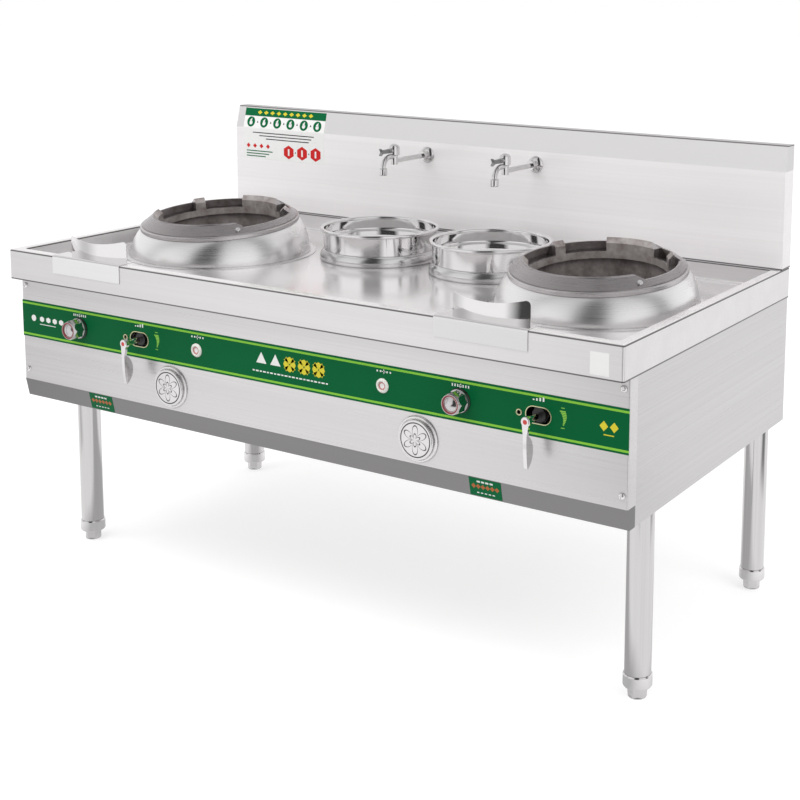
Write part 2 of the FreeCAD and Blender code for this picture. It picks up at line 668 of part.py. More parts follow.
def ring_bolt(x):
    spot, way = bolt_spot(x)
    shank = cylinder(BOLT_RADIUS - GAP, 14.0, spot - way * 13.0, way)
    head = cylinder(BOLT_RADIUS + 2.5, 5.0, spot + way * GAP, way)
    crown = head.makeFillet(2.0, [head.Edges[0]])
    return leaned(fuse([shank, crown]), x)


def combustion_bowl(x):
    """Refractory bowl under the ring; its flange rests on the hole's water lip."""
    shelf = WELL_FLOOR + HOLE_UPSTAND
    inner = BOWL_RADIUS - BOWL_WALL
    crest = SEAT + RING_RISE
    profile = ((inner, crest), (BOWL_RADIUS, crest), (BOWL_RADIUS, shelf + 6),
               (BOWL_RADIUS + 12, shelf + 6), (BOWL_RADIUS + 12, shelf),
               (BOWL_RADIUS, shelf), (BOWL_RADIUS - GAP * 2, WELL_UNDER - 20),
               (BOWL_RADIUS - 22, BOWL_FLOOR + 45, BOWL_MOUTH + 46, BOWL_FLOOR),
               (BOWL_MOUTH, BOWL_FLOOR), (BOWL_MOUTH, BOWL_FLOOR + 12),
               (BOWL_MOUTH + 36, BOWL_FLOOR + 14),
               (inner - 22, BOWL_FLOOR + 54, inner - 4, WELL_UNDER - 18))
    body = turned(profile, x, BURNER_Y)
    return body.cut(leaned(upright(BOWL_RADIUS + 30, x, BURNER_Y, BOWL_TOP, crest + 60), x))


def feed_side(x):
    """The side, -1 or 1, from which the gas reaches the burner at x."""
    knob = KNOB_PLACES[0] if x < 0 else KNOB_PLACES[1]
    return math.copysign(1, knob - x)


def burner_head(x):
    crown = BOWL_FLOOR + 12
    pan = crown - 30
    tube = MIXER_RADIUS
    profile = ((0, crown), (HEAD_RADIUS - 6, crown), (HEAD_RADIUS, crown - 6),
               (HEAD_RADIUS, pan + 12), (tube, pan - 14), (tube, DUCT_TOP + 6),
               (tube + 14, DUCT_TOP + 6), (tube + 14, DUCT_TOP), (tube - 5, DUCT_TOP),
               (tube - 5, pan - 10), (0, pan - 10))
    head = turned(profile, x, BURNER_Y)
    reach = feed_side(x) * FEED_END
    inlet = along_x(FEED_RADIUS + 4, x + min(0, reach), x + max(0, reach), BURNER_Y, FEED_LOW)
    pieces = [head, inlet]
    for count, radius in ((OUTER_JET_COUNT, HEAD_RADIUS - 15), (INNER_JET_COUNT, HEAD_RADIUS - 37)):
        for step in range(count):
            angle = 2 * math.pi * step / count
            base = Vector(x + radius * math.cos(angle), BURNER_Y + radius * math.sin(angle), crown - 1)
            pieces.append(Part.makeCone(7.0, 5.0, 11.0, base))
    return fuse(pieces)


# ---------------------------------------------------------------- flame guards
def guard_strap(x):
    """The tongue over the counter's front and the strap on its rim, in one bent sheet."""
    sheet = HEAVY_SHEET
    half = GUARD_WIDTH / 2
    seat = RIM_HEIGHT + GAP
    face = FRONT - GAP
    bend = RIM_RADIUS + GAP
    tongue = RIM_HEIGHT - TONGUE_DROP
    inside = bend * (1 - math.sqrt(0.5))
    outside = (bend + sheet) * (1 - math.sqrt(0.5))
    back = FRONT + 2 * GUARD_STANDOFF
    section = ((face, tongue), (face, seat - bend),
               (face + inside, seat - inside, face + bend, seat), (back, seat),
               (back, seat + sheet), (face + bend, seat + sheet),
               (face - sheet + outside, seat + sheet - outside, face - sheet, seat - bend),
               (face - sheet, tongue))
    strap = folded(section, x - half, x + half)
    middle = FRONT + GUARD_STANDOFF + GUARD_BOW
    return strap.cut(upright(GUARD_BOW, x, middle, seat - 1, seat + sheet + 1))


def guard_wall(x):
    """The bowed wall, with round upper corners and a shallow dip in its edge."""
    half = GUARD_WIDTH / 2 - GUARD_MARGIN
    low = RIM_HEIGHT + GAP
    high = low + GUARD_RISE
    near = FRONT + GUARD_STANDOFF
    middle = near + GUARD_BOW
    sheet = upright(GUARD_BOW, x, middle, low, high)
    sheet = sheet.cut(upright(GUARD_BOW - HEAVY_SHEET, x, middle, low - 1, high + 1))
    window = box(x - half, x + half, near - 1, near + half, low, high)
    corners = [e for e in edges_along(window, "y") if e.BoundBox.ZMin > high - 1]
    window = window.makeFillet(GUARD_CORNER, corners)
    dip_radius = (half * half + GUARD_DIP * GUARD_DIP) / (2 * GUARD_DIP)
    dip = along_y(dip_radius, x + GUARD_DIP_OFFSET, near - 5, near + half,
                  high - GUARD_DIP + dip_radius)
    return sheet.common(window).cut(dip)


def flame_guard(x):
    return fuse([guard_strap(x), guard_wall(x)])


# ---------------------------------------------------------------- warming pots
def pot_collar(x):
    floor = WELL_FLOOR
    top = floor + COLLAR_RISE
    wall = HEAVY_SHEET
    profile = ((COLLAR_FOOT, floor), (COLLAR_FOOT + 0.5, floor + 14, POT_RADIUS + 3, top - 3),
               (POT_RADIUS + 2, top - 0.5, POT_RADIUS, top), (POT_RADIUS - 14, top),
               (POT_RADIUS - 14, top - wall), (POT_RADIUS - 1, top - wall),
               (COLLAR_FOOT - 2.5, floor + 13, COLLAR_FOOT - 3, floor))
    return turned(profile, x, POT_Y)


def warming_pot(x):
    """Spun pot with a rolled rim, an inner ledge and a deep basin."""
    wall = HEAVY_SHEET
    foot = WELL_FLOOR + COLLAR_RISE + GAP
    rim = WELL_FLOOR + POT_RISE
    ledge = WELL_FLOOR + POT_LEDGE_RISE
    floor = ledge - POT_BASIN_DEPTH
    bead = POT_RADIUS + POT_BEAD
    inner = POT_RADIUS - wall
    profile = ((POT_RADIUS, foot), (POT_RADIUS, rim - 2 * POT_BEAD),
               (bead + POT_BEAD, rim - POT_BEAD, bead - POT_BEAD, rim),
               (inner - 1, rim - POT_BEAD, inner, rim - 2 * POT_BEAD),
               (inner, ledge + 6), (inner - 2, ledge + 2, inner - 6, ledge),
               (POT_BASIN + 6, ledge - 6), (POT_BASIN + 2, ledge - 8, POT_BASIN, ledge - 12),
               (POT_BASIN - 4, floor + 16), (POT_BASIN - 8, floor + 5, POT_BASIN - 20, floor),
               (0, floor), (0, floor - wall), (POT_BASIN - 19, floor - wall),
               (POT_BASIN - 6, floor + 3, POT_BASIN - 2, floor + 16),
               (POT_BASIN + wall, ledge - 13), (POT_BASIN + wall + 4, ledge - 8),
               (inner - 8, ledge - 2), (inner, ledge - 4), (inner, foot))
    return turned(profile, x, POT_Y)


# ---------------------------------------------------------------- taps
def tap_spout(x):
    """Straight root, quarter bend and nozzle."""
    top = TAP_Z + TAP_SPOUT_RISE
    bend_y = TAP_Y - TAP_SPOUT_REACH + TAP_SPOUT_BEND
    tip = top - TAP_SPOUT_BEND
    root = along_y(TAP_SPOUT_RADIUS, x, bend_y, TAP_Y, top)
    section = Part.Wire([Part.Circle(Vector(x, bend_y, top), Vector(0, 1, 0),
                                     TAP_SPOUT_RADIUS).toShape()])
    bend = Part.Face(section).revolve(Vector(x, bend_y, tip), Vector(1, 0, 0), 90)
    low = tip - TAP_NOZZLE
    radius = TAP_NOZZLE_RADIUS
    nozzle = turned(((0, low), (radius - 1, low), (radius, low + 2), (radius, tip - 2),
                     (radius - 3, tip + 1), (0, tip + 1)), x, TAP_Y - TAP_SPOUT_REACH)
    mouth = upright(radius - 3, x, TAP_Y - TAP_SPOUT_REACH, low - 1, tip - 6)
    return fuse([root, bend, nozzle]).cut(mouth)


def tap_body(x):
    """Wall flange, nut, pipe, upright valve with its cap, and the spout."""
    rose = wall_rose(x)
    pipe = along_y(TAP_PIPE_RADIUS, x, TAP_Y, SPLASH_FRONT + 10, TAP_Z)
    nut = hexagon_bar(TAP_PIPE_RADIUS + 4.5, x, SPLASH_FRONT - 30, SPLASH_FRONT - 9, TAP_Z)
    neck = TAP_PIPE_RADIUS + 3
    radius = TAP_BODY_RADIUS
    shoulder = TAP_Z + 14
    cap = TAP_Z + 39
    valve = turned(((0, TAP_Z - neck), (neck, TAP_Z - neck), (neck, shoulder),
                    (radius, shoulder + 3), (radius, cap), (radius - 2, cap + 1),
                    (radius - 2, cap + 3)) + (dome(radius - 2, cap + 3, 5.0),), x, TAP_Y)
    stem_z = TAP_Z + TAP_STEM_RISE
    front = TAP_Y - radius - 4
    boss = along_y(7.0, x, front, TAP_Y, stem_z)
    bore = along_y(TAP_STEM + FIT, x, front - 1, TAP_Y - 4, stem_z)
    return fuse([rose, pipe, nut, valve, boss, tap_spout(x)]).cut(bore)


def wall_rose(x):
    """Domed flange that covers the hole in the backsplash."""
    profile = ((0, SPLASH_FRONT - 9), (TAP_PIPE_RADIUS + 3, SPLASH_FRONT - 9),
               (TAP_FLANGE_RADIUS - 5, SPLASH_FRONT - 6, TAP_FLANGE_RADIUS, SPLASH_FRONT - 1),
               (TAP_FLANGE_RADIUS, SPLASH_FRONT), (0, SPLASH_FRONT))
    return turned_along_y(profile, x, TAP_Z)


def hexagon_bar(radius, x, y0, y1, z):
    corners = []
    for step in range(6):
        angle = math.radians(60 * step)
        reach = radius / math.cos(math.radians(30))
        corners.append(Vector(x + reach * math.cos(angle), y0, z + reach * math.sin(angle)))
    wire = Part.makePolygon(corners + [corners[0]])
    return Part.Face(wire).extrude(Vector(0, y1 - y0, 0))


def tap_handle(x):
    """Fish-tail lever on a stem that turns in the valve."""
    z = TAP_Z + TAP_STEM_RISE
    near = TAP_Y - TAP_BODY_RADIUS - 4 - GAP
    tip = near - TAP_HANDLE_REACH
    stem = along_y(TAP_STEM, x, near - 2, TAP_Y - 5, z)
    hub = along_y(6.5, x, near - 10, near, z)
    lever = folded(((near - 8, z - 5.5), (near - 8, z + 5.5), (tip + 16, z + 5),
                    (tip + 8, z + 6, tip + 1, z + 10), (tip, z + 8),
                    (tip + 6, z), (tip, z - 8), (tip + 1, z - 10),
                    (tip + 8, z - 6, tip + 16, z - 5)), x - 4, x + 4)
    return fuse([stem, hub, lever])


# ---------------------------------------------------------------- controls
def gas_knob(x):
    """Eight-sided knob with a domed face, and the stem that turns in its valve."""
    back = BAND_FACE - 4 - GAP
    front = back - KNOB_LENGTH
    face = KNOB_RADIUS - 9
    profile = ((0, back), (KNOB_RADIUS, back), (KNOB_RADIUS, front + 9),
               (KNOB_RADIUS - 4, front), (face + 1, front), (face, front + 2),
               (face - 1, front + 2)) + (dome(face - 1, front + 2, -5.0),)
    body = turned_along_y(profile, x, CONTROL_HEIGHT)
    flat = KNOB_RADIUS * math.cos(math.pi / KNOB_SIDE_COUNT) - 0.3
    for step in range(KNOB_SIDE_COUNT):
        side = box(flat, flat + 5, back - KNOB_LENGTH - 1, back - 3, -15, 15)
        side.rotate(Vector(0, 0, 0), Vector(0, 1, 0), (step + 0.5) * 360 / KNOB_SIDE_COUNT)
        side.translate(Vector(x, 0, CONTROL_HEIGHT))
        body = body.cut(side)
    stem = along_y(KNOB_STEM, x, back - 5, PANEL + SHEET + 22, CONTROL_HEIGHT)
    return fuse([body, stem])


def knob_bezels():
    rings = []
    for x in KNOB_PLACES:
        ring = turned_along_y(((KNOB_STEM + 1.5, BAND_FACE), (KNOB_STEM + 1.5, BAND_FACE - 4),
                               (KNOB_RADIUS, BAND_FACE - 4), (KNOB_RADIUS + 2, BAND_FACE - 2),
                               (KNOB_RADIUS + 2, BAND_FACE)), x, CONTROL_HEIGHT)
        rings.append(ring)
    return Part.makeCompound(rings)


def valve_body(x, bore):
    """A valve behind the fascia with a stub down to the gas manifold."""
    near = PANEL + SHEET
    body = along_y(VALVE_RADIUS, x, near, near + VALVE_LENGTH, CONTROL_HEIGHT)
    collar = hexagon_bar(VALVE_RADIUS + 2, x, near + 6, near + 20, CONTROL_HEIGHT)
    stub = upright(9.0, x, MANIFOLD_Y, MANIFOLD_SEAT, CONTROL_HEIGHT)
    whole = fuse([body, collar, stub])
    return whole.cut(along_y(bore + FIT, x, near - 1, near + 34, CONTROL_HEIGHT))


def air_lever(x):
    """Shaft, boss and a curved blade that hangs and bellies back towards the fascia."""
    z = CONTROL_HEIGHT
    shaft = along_y(LEVER_SHAFT, x, LEVER_Y, PANEL + SHEET + 30, z)
    boss = along_y(LEVER_BOSS, x, LEVER_Y - 6, LEVER_Y + 5, z)
    boss = boss.makeFillet(2.5, level_ring(boss, LEVER_Y - 6))
    length = LEVER_LENGTH
    neck = z - 0.3 * length
    blade = folded(((LEVER_Y - 4, z), (LEVER_Y + 3, z), (LEVER_Y + 1, neck),
                    (LEVER_Y + 20, z - 0.76 * length, LEVER_Y + 3, z - length),
                    (LEVER_Y - 1, z - length + 1),
                    (LEVER_Y - 6, z - 0.55 * length, LEVER_Y - 4, z)), -12, 12)
    front = Part.Face(outline(((-9, z), (9, z), (4.5, neck), (4.0, z - length - 2),
                               (-4.0, z - length - 2), (-4.5, neck))))
    front.translate(Vector(0, LEVER_Y - 20, 0))
    blade = blade.common(front.extrude(Vector(0, 60, 0)))
    blade.translate(Vector(x, 0, 0))
    return fuse([shaft, boss, blade])


def level_ring(shape, y):
    """Edges that lie whole at the depth y."""
    found = []
    for edge in shape.Edges:
        bounds = edge.BoundBox
        if abs(bounds.YMin - y) < 0.01 and abs(bounds.YMax - y) < 0.01:
            found.append(edge)
    return found


def slot_trims():
    """A thin frame round each lever slot, and the small eyelet beside it."""
    trims = []
    for x in LEVER_PLACES:
        outer = slot_bar(SLOT_WIDTH + 4, SLOT_HEIGHT + 4, x, CONTROL_HEIGHT, BAND_FACE - 1.2, BAND_FACE)
        inner = slot_bar(SLOT_WIDTH, SLOT_HEIGHT, x, CONTROL_HEIGHT, BAND_FACE - 2, BAND_FACE + 1)
        trims.append(outer.cut(inner))
        eyelet = turned_along_y(((EYELET_RADIUS - 3, BAND_FACE), (EYELET_RADIUS - 3, BAND_FACE - 2),
                                 (EYELET_RADIUS - 1.5, BAND_FACE - 3, EYELET_RADIUS, BAND_FACE - 1),
                                 (EYELET_RADIUS, BAND_FACE)), x + EYELET_OFFSET, CONTROL_HEIGHT)
        trims.append(eyelet)
    return Part.makeCompound(trims)


def button_bezel(x):
    bore = BUTTON_RADIUS + GAP
    barrel = BUTTON_RADIUS + 2.5
    deep = PANEL + SHEET + 22
    return turned_along_y(((bore, BAND_FACE - 3), (bore + 1.5, BAND_FACE - 5),
                           (BUTTON_BEZEL - 4, BAND_FACE - 4.5, BUTTON_BEZEL, BAND_FACE - 1),
                           (BUTTON_BEZEL, BAND_FACE), (barrel, BAND_FACE), (barrel, deep),
                           (0, deep), (0, deep - 2), (bore, deep - 2)), x, CONTROL_HEIGHT)


def igniter_button(x):
    face = BAND_FACE - 3
    back = PANEL + SHEET + 20 - GAP - BUTTON_TRAVEL
    return turned_along_y(((0, face + 2.5), (BUTTON_RADIUS - 4, face + 1.5, BUTTON_RADIUS - 1.5, face),
                           (BUTTON_RADIUS, face + 1.5), (BUTTON_RADIUS, back), (0, back)),
                          x, CONTROL_HEIGHT)


def round_covers():
    """Domed covers over the fascia's two inspection holes."""
    covers = []
    for x in COVER_PLACES:
        rim = COVER_RADIUS
        cover = turned_along_y(((0, PANEL), (rim, PANEL), (rim, PANEL - 3), (rim - 1.5, PANEL - 5),
                                (rim - 5, PANEL - 5), (rim - 6, PANEL - 3), (rim - 7, PANEL - 3),
                                (rim - 7, PANEL - 10), (rim - 8, PANEL - 11.5, rim - 11, PANEL - 12),
                                (0, PANEL - 13.5)), x, COVER_HEIGHT)
        covers.append(cover)
    return Part.makeCompound(covers)


def fascia_screws():
    screws = []
    end = END - 16
    for x in (-end, end):
        for z in (FASCIA_BOTTOM + 28, APRON_BOTTOM - 22):
            head = turned_along_y(((0, PANEL), (8, PANEL), (7.5, PANEL - 2.5, 4, PANEL - 5),
                                   (0, PANEL - 5.6)), x, z)
            cross = box(x - 5, x + 5, PANEL - 7, PANEL - 4, z - 0.9, z + 0.9)
            screws.append(head.cut(cross).cut(box(x - 0.9, x + 0.9, PANEL - 7, PANEL - 4, z - 5, z + 5)))
    return Part.makeCompound(screws)


# ---------------------------------------------------------------- services
def bent_pipe(radius, points):
    """Straight pipes joined by balls at the corners."""
    pieces = []
    for start, end in zip(points, points[1:]):
        way = end - start
        pieces.append(cylinder(radius, way.Length, start, way))
    for corner in points[1:-1]:
        pieces.append(Part.makeSphere(radius * 1.15, corner))
    return fuse(pieces)


def gas_manifold():
    """Main gas pipe behind the controls and back to the inlet at the rear."""
    line = bent_pipe(MANIFOLD_RADIUS, [Vector(KNOB_PLACES[0] - 40, MANIFOLD_Y, MANIFOLD_HEIGHT),
                                       Vector(GAS_INLET_X, MANIFOLD_Y, MANIFOLD_HEIGHT),
                                       Vector(GAS_INLET_X, REAR - 1, MANIFOLD_HEIGHT)])
    bosses = [upright(12.0, x, MANIFOLD_Y, MANIFOLD_HEIGHT, MANIFOLD_SEAT)
              for x in KNOB_PLACES + LEVER_PLACES]
    line = fuse([line] + bosses)
    return line.cut(along_y(MANIFOLD_RADIUS - 4, GAS_INLET_X, REAR - 40, REAR, MANIFOLD_HEIGHT))


def gas_feed_pipes():
    """From the back of each gas valve to the burner's mixing tube."""
    near = PANEL + SHEET + VALVE_LENGTH
    turn = near + 30
    feeds = []
    for x, burner in zip(KNOB_PLACES, (-BURNER_OFFSET, BURNER_OFFSET)):
        end = burner + math.copysign(FEED_END, x - burner)
        feeds.append(bent_pipe(FEED_RADIUS, [Vector(x, near, CONTROL_HEIGHT),
                                             Vector(x, turn, CONTROL_HEIGHT),
                                             Vector(x, turn, FEED_LOW),
                                             Vector(x, BURNER_Y, FEED_LOW),
                                             Vector(end, BURNER_Y, FEED_LOW)]))
    return Part.makeCompound(feeds)


def water_pipe():
    """Tee inside the backsplash that feeds both taps from the inlet at the rear."""
    y = REAR - REAR_RIM / 2
    cross = along_x(WATER_PIPE_RADIUS, -POT_OFFSET - 16, POT_OFFSET + 16, y, TAP_Z)
    drop = upright(WATER_PIPE_RADIUS, 0, y, WATER_INLET_HEIGHT, TAP_Z)
    elbow = Part.makeSphere(WATER_PIPE_RADIUS * 1.15, Vector(0, y, WATER_INLET_HEIGHT))
    inlet = along_y(WATER_PIPE_RADIUS, 0, y, REAR - 1, WATER_INLET_HEIGHT)
    whole = fuse([cross, drop, elbow, inlet])
    for side in (-1, 1):
        x = side * POT_OFFSET
        socket = along_y(12.0, x, SPLASH_FRONT + 6, y, TAP_Z)
        whole = fuse([whole, socket])
        whole = whole.cut(along_y(TAP_PIPE_RADIUS + FIT, x, SPLASH_FRONT + 5,
                                  SPLASH_FRONT + 10, TAP_Z))
    return whole.cut(along_y(WATER_PIPE_RADIUS - 3, 0, REAR - 20, REAR, WATER_INLET_HEIGHT))


def drain_outlet():
    """Cup in the well floor with a strainer plate and a spigot below."""
    floor = WELL_FLOOR
    knee = floor - DRAIN_CUP
    cup_inner = DRAIN_RADIUS - SPIGOT_WALL
    bore = SPIGOT_RADIUS - SPIGOT_WALL
    cup = turned(((bore, knee - SPIGOT_LENGTH), (SPIGOT_RADIUS, knee - SPIGOT_LENGTH),
                  (SPIGOT_RADIUS, knee), (DRAIN_RADIUS, knee), (DRAIN_RADIUS, floor),
                  (DRAIN_RADIUS + 16, floor), (DRAIN_RADIUS + 15, floor + 2),
                  (cup_inner, floor + 2), (cup_inner, knee + SPIGOT_WALL),
                  (bore, knee + SPIGOT_WALL)), DRAIN_X, DRAIN_Y)
    plate = upright(cup_inner + 1, DRAIN_X, DRAIN_Y, floor - 1, floor + 1)
    for step in range(6):
        angle = math.pi * step / 3
        plate = plate.cut(upright(3.5, DRAIN_X + 10 * math.cos(angle),
                                  DRAIN_Y + 10 * math.sin(angle), floor - 2, floor + 2))
    return fuse([cup, plate])


def air_duct():
    """Box duct that carries the blower's air to both mixing tubes."""
    reach = BURNER_OFFSET + MIXER_RADIUS + 20
    bottom = DUCT_TOP - DUCT_HEIGHT
    outer = box(-reach, reach, BURNER_Y - DUCT_HALF, BURNER_Y + DUCT_HALF, bottom, DUCT_TOP)
    inner = box(-reach + SHEET, reach - SHEET, BURNER_Y - DUCT_HALF + SHEET,
                BURNER_Y + DUCT_HALF - SHEET, bottom + SHEET, DUCT_TOP - SHEET)
    duct = outer.cut(inner)
    for side in (-1, 1):
        duct = duct.cut(upright(MIXER_RADIUS - 5, side * BURNER_OFFSET, BURNER_Y,
                                DUCT_TOP - 5, DUCT_TOP + 1))
    half = BLOWER_WIDTH / 2
    for side in (-1, 1):
        hanger = box(side * BURNER_OFFSET / 2 - 15, side * BURNER_OFFSET / 2 + 15,
                     BURNER_Y - 15, BURNER_Y + 15, FRAME_TOP, bottom)
        duct = duct.fuse(hanger)
    mouth = box(-half + 10, half - 10, BURNER_Y + DUCT_HALF - 5, BURNER_Y + DUCT_HALF + 1,
                bottom + 8, DUCT_TOP - 8)
    return duct.cut(mouth).removeSplitter()


def blower():
    """Snail housing behind the duct, its motor on the right, and its stand."""
    half = BLOWER_WIDTH / 2
    radius = BLOWER_RADIUS
    bottom = DUCT_TOP - DUCT_HEIGHT
    near = BURNER_Y + DUCT_HALF
    axis_y = near + 60 + radius
    axis_z = CABINET_BOTTOM + SHEET + radius + 10
    drum = along_x(radius, -half, half, axis_y, axis_z)
    throat = box(-half, half, near, axis_y, bottom, DUCT_TOP)
    motor = along_x(radius * 0.6, half, half + 110, axis_y, axis_z)
    motor = motor.makeFillet(8.0, [e for e in motor.Edges if e.BoundBox.XMin > half + 100])
    intake = along_x(radius * 0.5, -half - 1, -half + 12, axis_y, axis_z)
    stand = box(-half + 10, half - 10, axis_y - 40, axis_y + 40, CABINET_BOTTOM + SHEET, axis_z)
    whole = fuse([drum, throat, motor, stand]).cut(intake)
    hollow = box(-half + SHEET, half - SHEET, near - 1, near + 50, bottom + SHEET, DUCT_TOP - SHEET)
    return whole.cut(hollow)


# ---------------------------------------------------------------- the whole range
def build():
    os.makedirs("parts", exist_ok=True)
    save("counter_top", counter_top())
    save("backsplash", backsplash())
    save("front_panel", front_panel())
    save("control_band", control_band())
    save("lower_trim_strip", lower_trim_strip())
    save("back_panel", back_panel())
    save("bottom_panel", bottom_panel())
    save("base_frame", base_frame())
    for place, (x, y) in leg_places().items():
        save("leg_" + place, leg(x, y))
        save("foot_" + place, foot(x, y))
    for name, side in (("left", -1), ("right", 1)):
        burner = side * BURNER_OFFSET
        pot = side * POT_OFFSET
        index = 0 if side < 0 else 1
        save("side_panel_" + name, side_panel(side))
        save("burner_skirt_" + name, burner_skirt(burner))
        save("wok_ring_" + name, wok_ring(burner))
        save("ring_bolt_" + name, ring_bolt(burner))
        save("combustion_bowl_" + name, combustion_bowl(burner))
        save("burner_head_" + name, burner_head(burner))
        save("flame_guard_" + name, flame_guard(GUARD_PLACES[index]))
        save("pot_collar_" + name, pot_collar(pot))
        save("warming_pot_" + name, warming_pot(pot))
        save("tap_body_" + name, tap_body(pot))
        save("tap_handle_" + name, tap_handle(pot))
        save("gas_knob_" + name, gas_knob(KNOB_PLACES[index]))
        save("gas_valve_" + name, valve_body(KNOB_PLACES[index], KNOB_STEM))
        save("air_lever_" + name, air_lever(LEVER_PLACES[index]))
        save("lever_valve_" + name, valve_body(LEVER_PLACES[index], LEVER_SHAFT))
        save("button_bezel_" + name, button_bezel(BUTTON_PLACES[index]))
        save("igniter_button_" + name, igniter_button(BUTTON_PLACES[index]))
    save("knob_bezels", knob_bezels())
    save("slot_trims", slot_trims())
    save("round_covers", round_covers())
    save("fascia_screws", fascia_screws())
    save("gas_manifold", gas_manifold())
    save("gas_feed_pipes", gas_feed_pipes())
    save("water_pipe", water_pipe())
    save("drain_outlet", drain_outlet())
    save("air_duct", air_duct())
    save("blower", blower())


build()
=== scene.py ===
# %% [markdown]
# # A commercial wok range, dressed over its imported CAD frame
# The range is mostly sheet steel: panels with a straight brushed grain, spun parts with a
# circular grain, and a few polished and cast pieces. The CAD nodes already have the right
# shapes, so they stay and get a finish. Prints, cards and labels are thin pieces of their
# own, laid on the sheet that carries them.

# %% Load the frame
import math

import bmesh
import bpy
from mathutils import Matrix, Vector


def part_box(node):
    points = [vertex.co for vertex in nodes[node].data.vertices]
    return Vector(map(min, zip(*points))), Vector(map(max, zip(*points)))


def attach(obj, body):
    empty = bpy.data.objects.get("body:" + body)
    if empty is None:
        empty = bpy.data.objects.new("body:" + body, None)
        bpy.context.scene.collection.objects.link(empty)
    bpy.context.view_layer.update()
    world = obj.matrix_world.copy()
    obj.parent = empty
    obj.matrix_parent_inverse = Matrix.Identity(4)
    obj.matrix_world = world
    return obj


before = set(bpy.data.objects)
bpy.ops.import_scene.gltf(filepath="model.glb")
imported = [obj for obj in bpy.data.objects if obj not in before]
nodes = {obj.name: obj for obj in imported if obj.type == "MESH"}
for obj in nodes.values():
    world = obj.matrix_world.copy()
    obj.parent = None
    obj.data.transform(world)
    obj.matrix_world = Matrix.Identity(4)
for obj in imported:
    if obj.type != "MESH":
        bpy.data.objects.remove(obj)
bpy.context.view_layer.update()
MM = 0.001


# %% [markdown]
# ## Where the parts are
# The main places are read from CAD nodes' boxes, so the scene follows those parts if they
# change; the camera and the prints are placed by given numbers.

# %% Measure the frame
def middle(node):
    low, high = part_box(node)
    return (low + high) / 2


SIDES = ("left", "right")
counter_low, counter_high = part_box("counter_top")
splash_low, splash_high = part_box("backsplash")
band_low, band_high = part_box("control_band")
ring_places = {side: middle("wok_ring_" + side) for side in SIDES}
pot_places = {side: middle("warming_pot_" + side) for side in SIDES}
print("counter", [round(v, 3) for v in counter_high - counter_low])


# %% [markdown]
# ## The camera
# The photograph is taken from the right, a little above the backsplash, with a lens of
# moderate length. Its view is part of a larger picture, so the lens is shifted and turned
# down only a little, which keeps the legs nearly upright.

# %% Place the camera
CAMERA_PLACE = Vector((2.1375, -2.8981, 1.5690))
CAMERA_YAW = 0.522
CAMERA_PITCH = 0.1422
CAMERA_ROLL = 0.0131
LENS = 63.91
SENSOR = 36.0
SHIFT = (-0.1897, -0.2765)

forward = Vector((-math.sin(CAMERA_YAW) * math.cos(CAMERA_PITCH),
                  math.cos(CAMERA_YAW) * math.cos(CAMERA_PITCH), -math.sin(CAMERA_PITCH)))
level_right = forward.cross(Vector((0, 0, 1))).normalized()
level_up = level_right.cross(forward)
right = level_right * math.cos(CAMERA_ROLL) + level_up * math.sin(CAMERA_ROLL)
up = level_up * math.cos(CAMERA_ROLL) - level_right * math.sin(CAMERA_ROLL)
lens = bpy.data.cameras.new("photo_camera")
lens.lens = LENS
lens.sensor_width = SENSOR
lens.shift_x, lens.shift_y = SHIFT
lens.clip_end = 100.0
camera = bpy.data.objects.new("photo_camera", lens)
turn = Matrix((right, up, -forward)).transposed()
camera.matrix_world = Matrix.Translation(CAMERA_PLACE) @ turn.to_4x4()
bpy.context.scene.collection.objects.link(camera)
bpy.context.scene.camera = camera
bpy.context.scene.view_settings.view_transform = "Standard"
print("camera at", tuple(round(v, 2) for v in CAMERA_PLACE))


# %% [markdown]
# ## Building materials from nodes
# Each finish is a small network: object coordinates, stretched or bent to follow the
# grain, feed noise, and the noise steers colour, roughness and bump. These helpers keep
# the finishes below short.

# %% Node helpers
def new_material(name):
    material = bpy.data.materials.new(name)
    material.use_nodes = True
    tree = material.node_tree
    return material, tree, tree.nodes["Principled BSDF"]


def add(tree, kind, sockets=None, **settings):
    """One node: settings are its properties, sockets its inputs, by name or number."""
    node = tree.nodes.new(kind)
    for key, value in settings.items():
        setattr(node, key, value)
    for key, value in (sockets or {}).items():
        if isinstance(value, bpy.types.NodeSocket):
            tree.links.new(value, node.inputs[key])
        else:
            node.inputs[key].default_value = value
    return node


def place_on(tree, scale=(1, 1, 1), location=(0, 0, 0)):
    """A piece's own coordinates, scaled and moved."""
    where = add(tree, "ShaderNodeTexCoord")
    mapping = add(tree, "ShaderNodeMapping", {"Vector": where.outputs["Object"], "Scale": scale,
                                              "Location": location})
    return mapping.outputs["Vector"]


def noise(tree, vector, scale, detail=4.0, rough=0.6):
    made = add(tree, "ShaderNodeTexNoise", {"Vector": vector, "Scale": scale, "Detail": detail,
                                            "Roughness": rough})
    return made.outputs["Fac"]


def spread(tree, value, low, high, start=0.3, end=0.7):
    """Maps the stretch start..end of a value to low..high."""
    made = add(tree, "ShaderNodeMapRange", {"Value": value, "From Min": start, "From Max": end,
                                            "To Min": low, "To Max": high})
    return made.outputs["Result"]


def blend_colours(tree, factor, first, second):
    made = add(tree, "ShaderNodeMix", {"Factor": factor}, data_type="RGBA")
    for socket, value in ((made.inputs[6], first), (made.inputs[7], second)):
        if isinstance(value, bpy.types.NodeSocket):
            tree.links.new(value, socket)
        else:
            socket.default_value = value
    return made.outputs[2]


def calculate(tree, operation, first, second=0.0, third=0.0):
    made = add(tree, "ShaderNodeMath", {0: first, 1: second, 2: third}, operation=operation)
    return made.outputs[0]


def grey(level, blush=0.0):
    """A grey, a little towards pink as steel is under plain light."""
    return (level * (1 + blush), level * (1 - blush), level * (1 - blush * 0.5), 1.0)


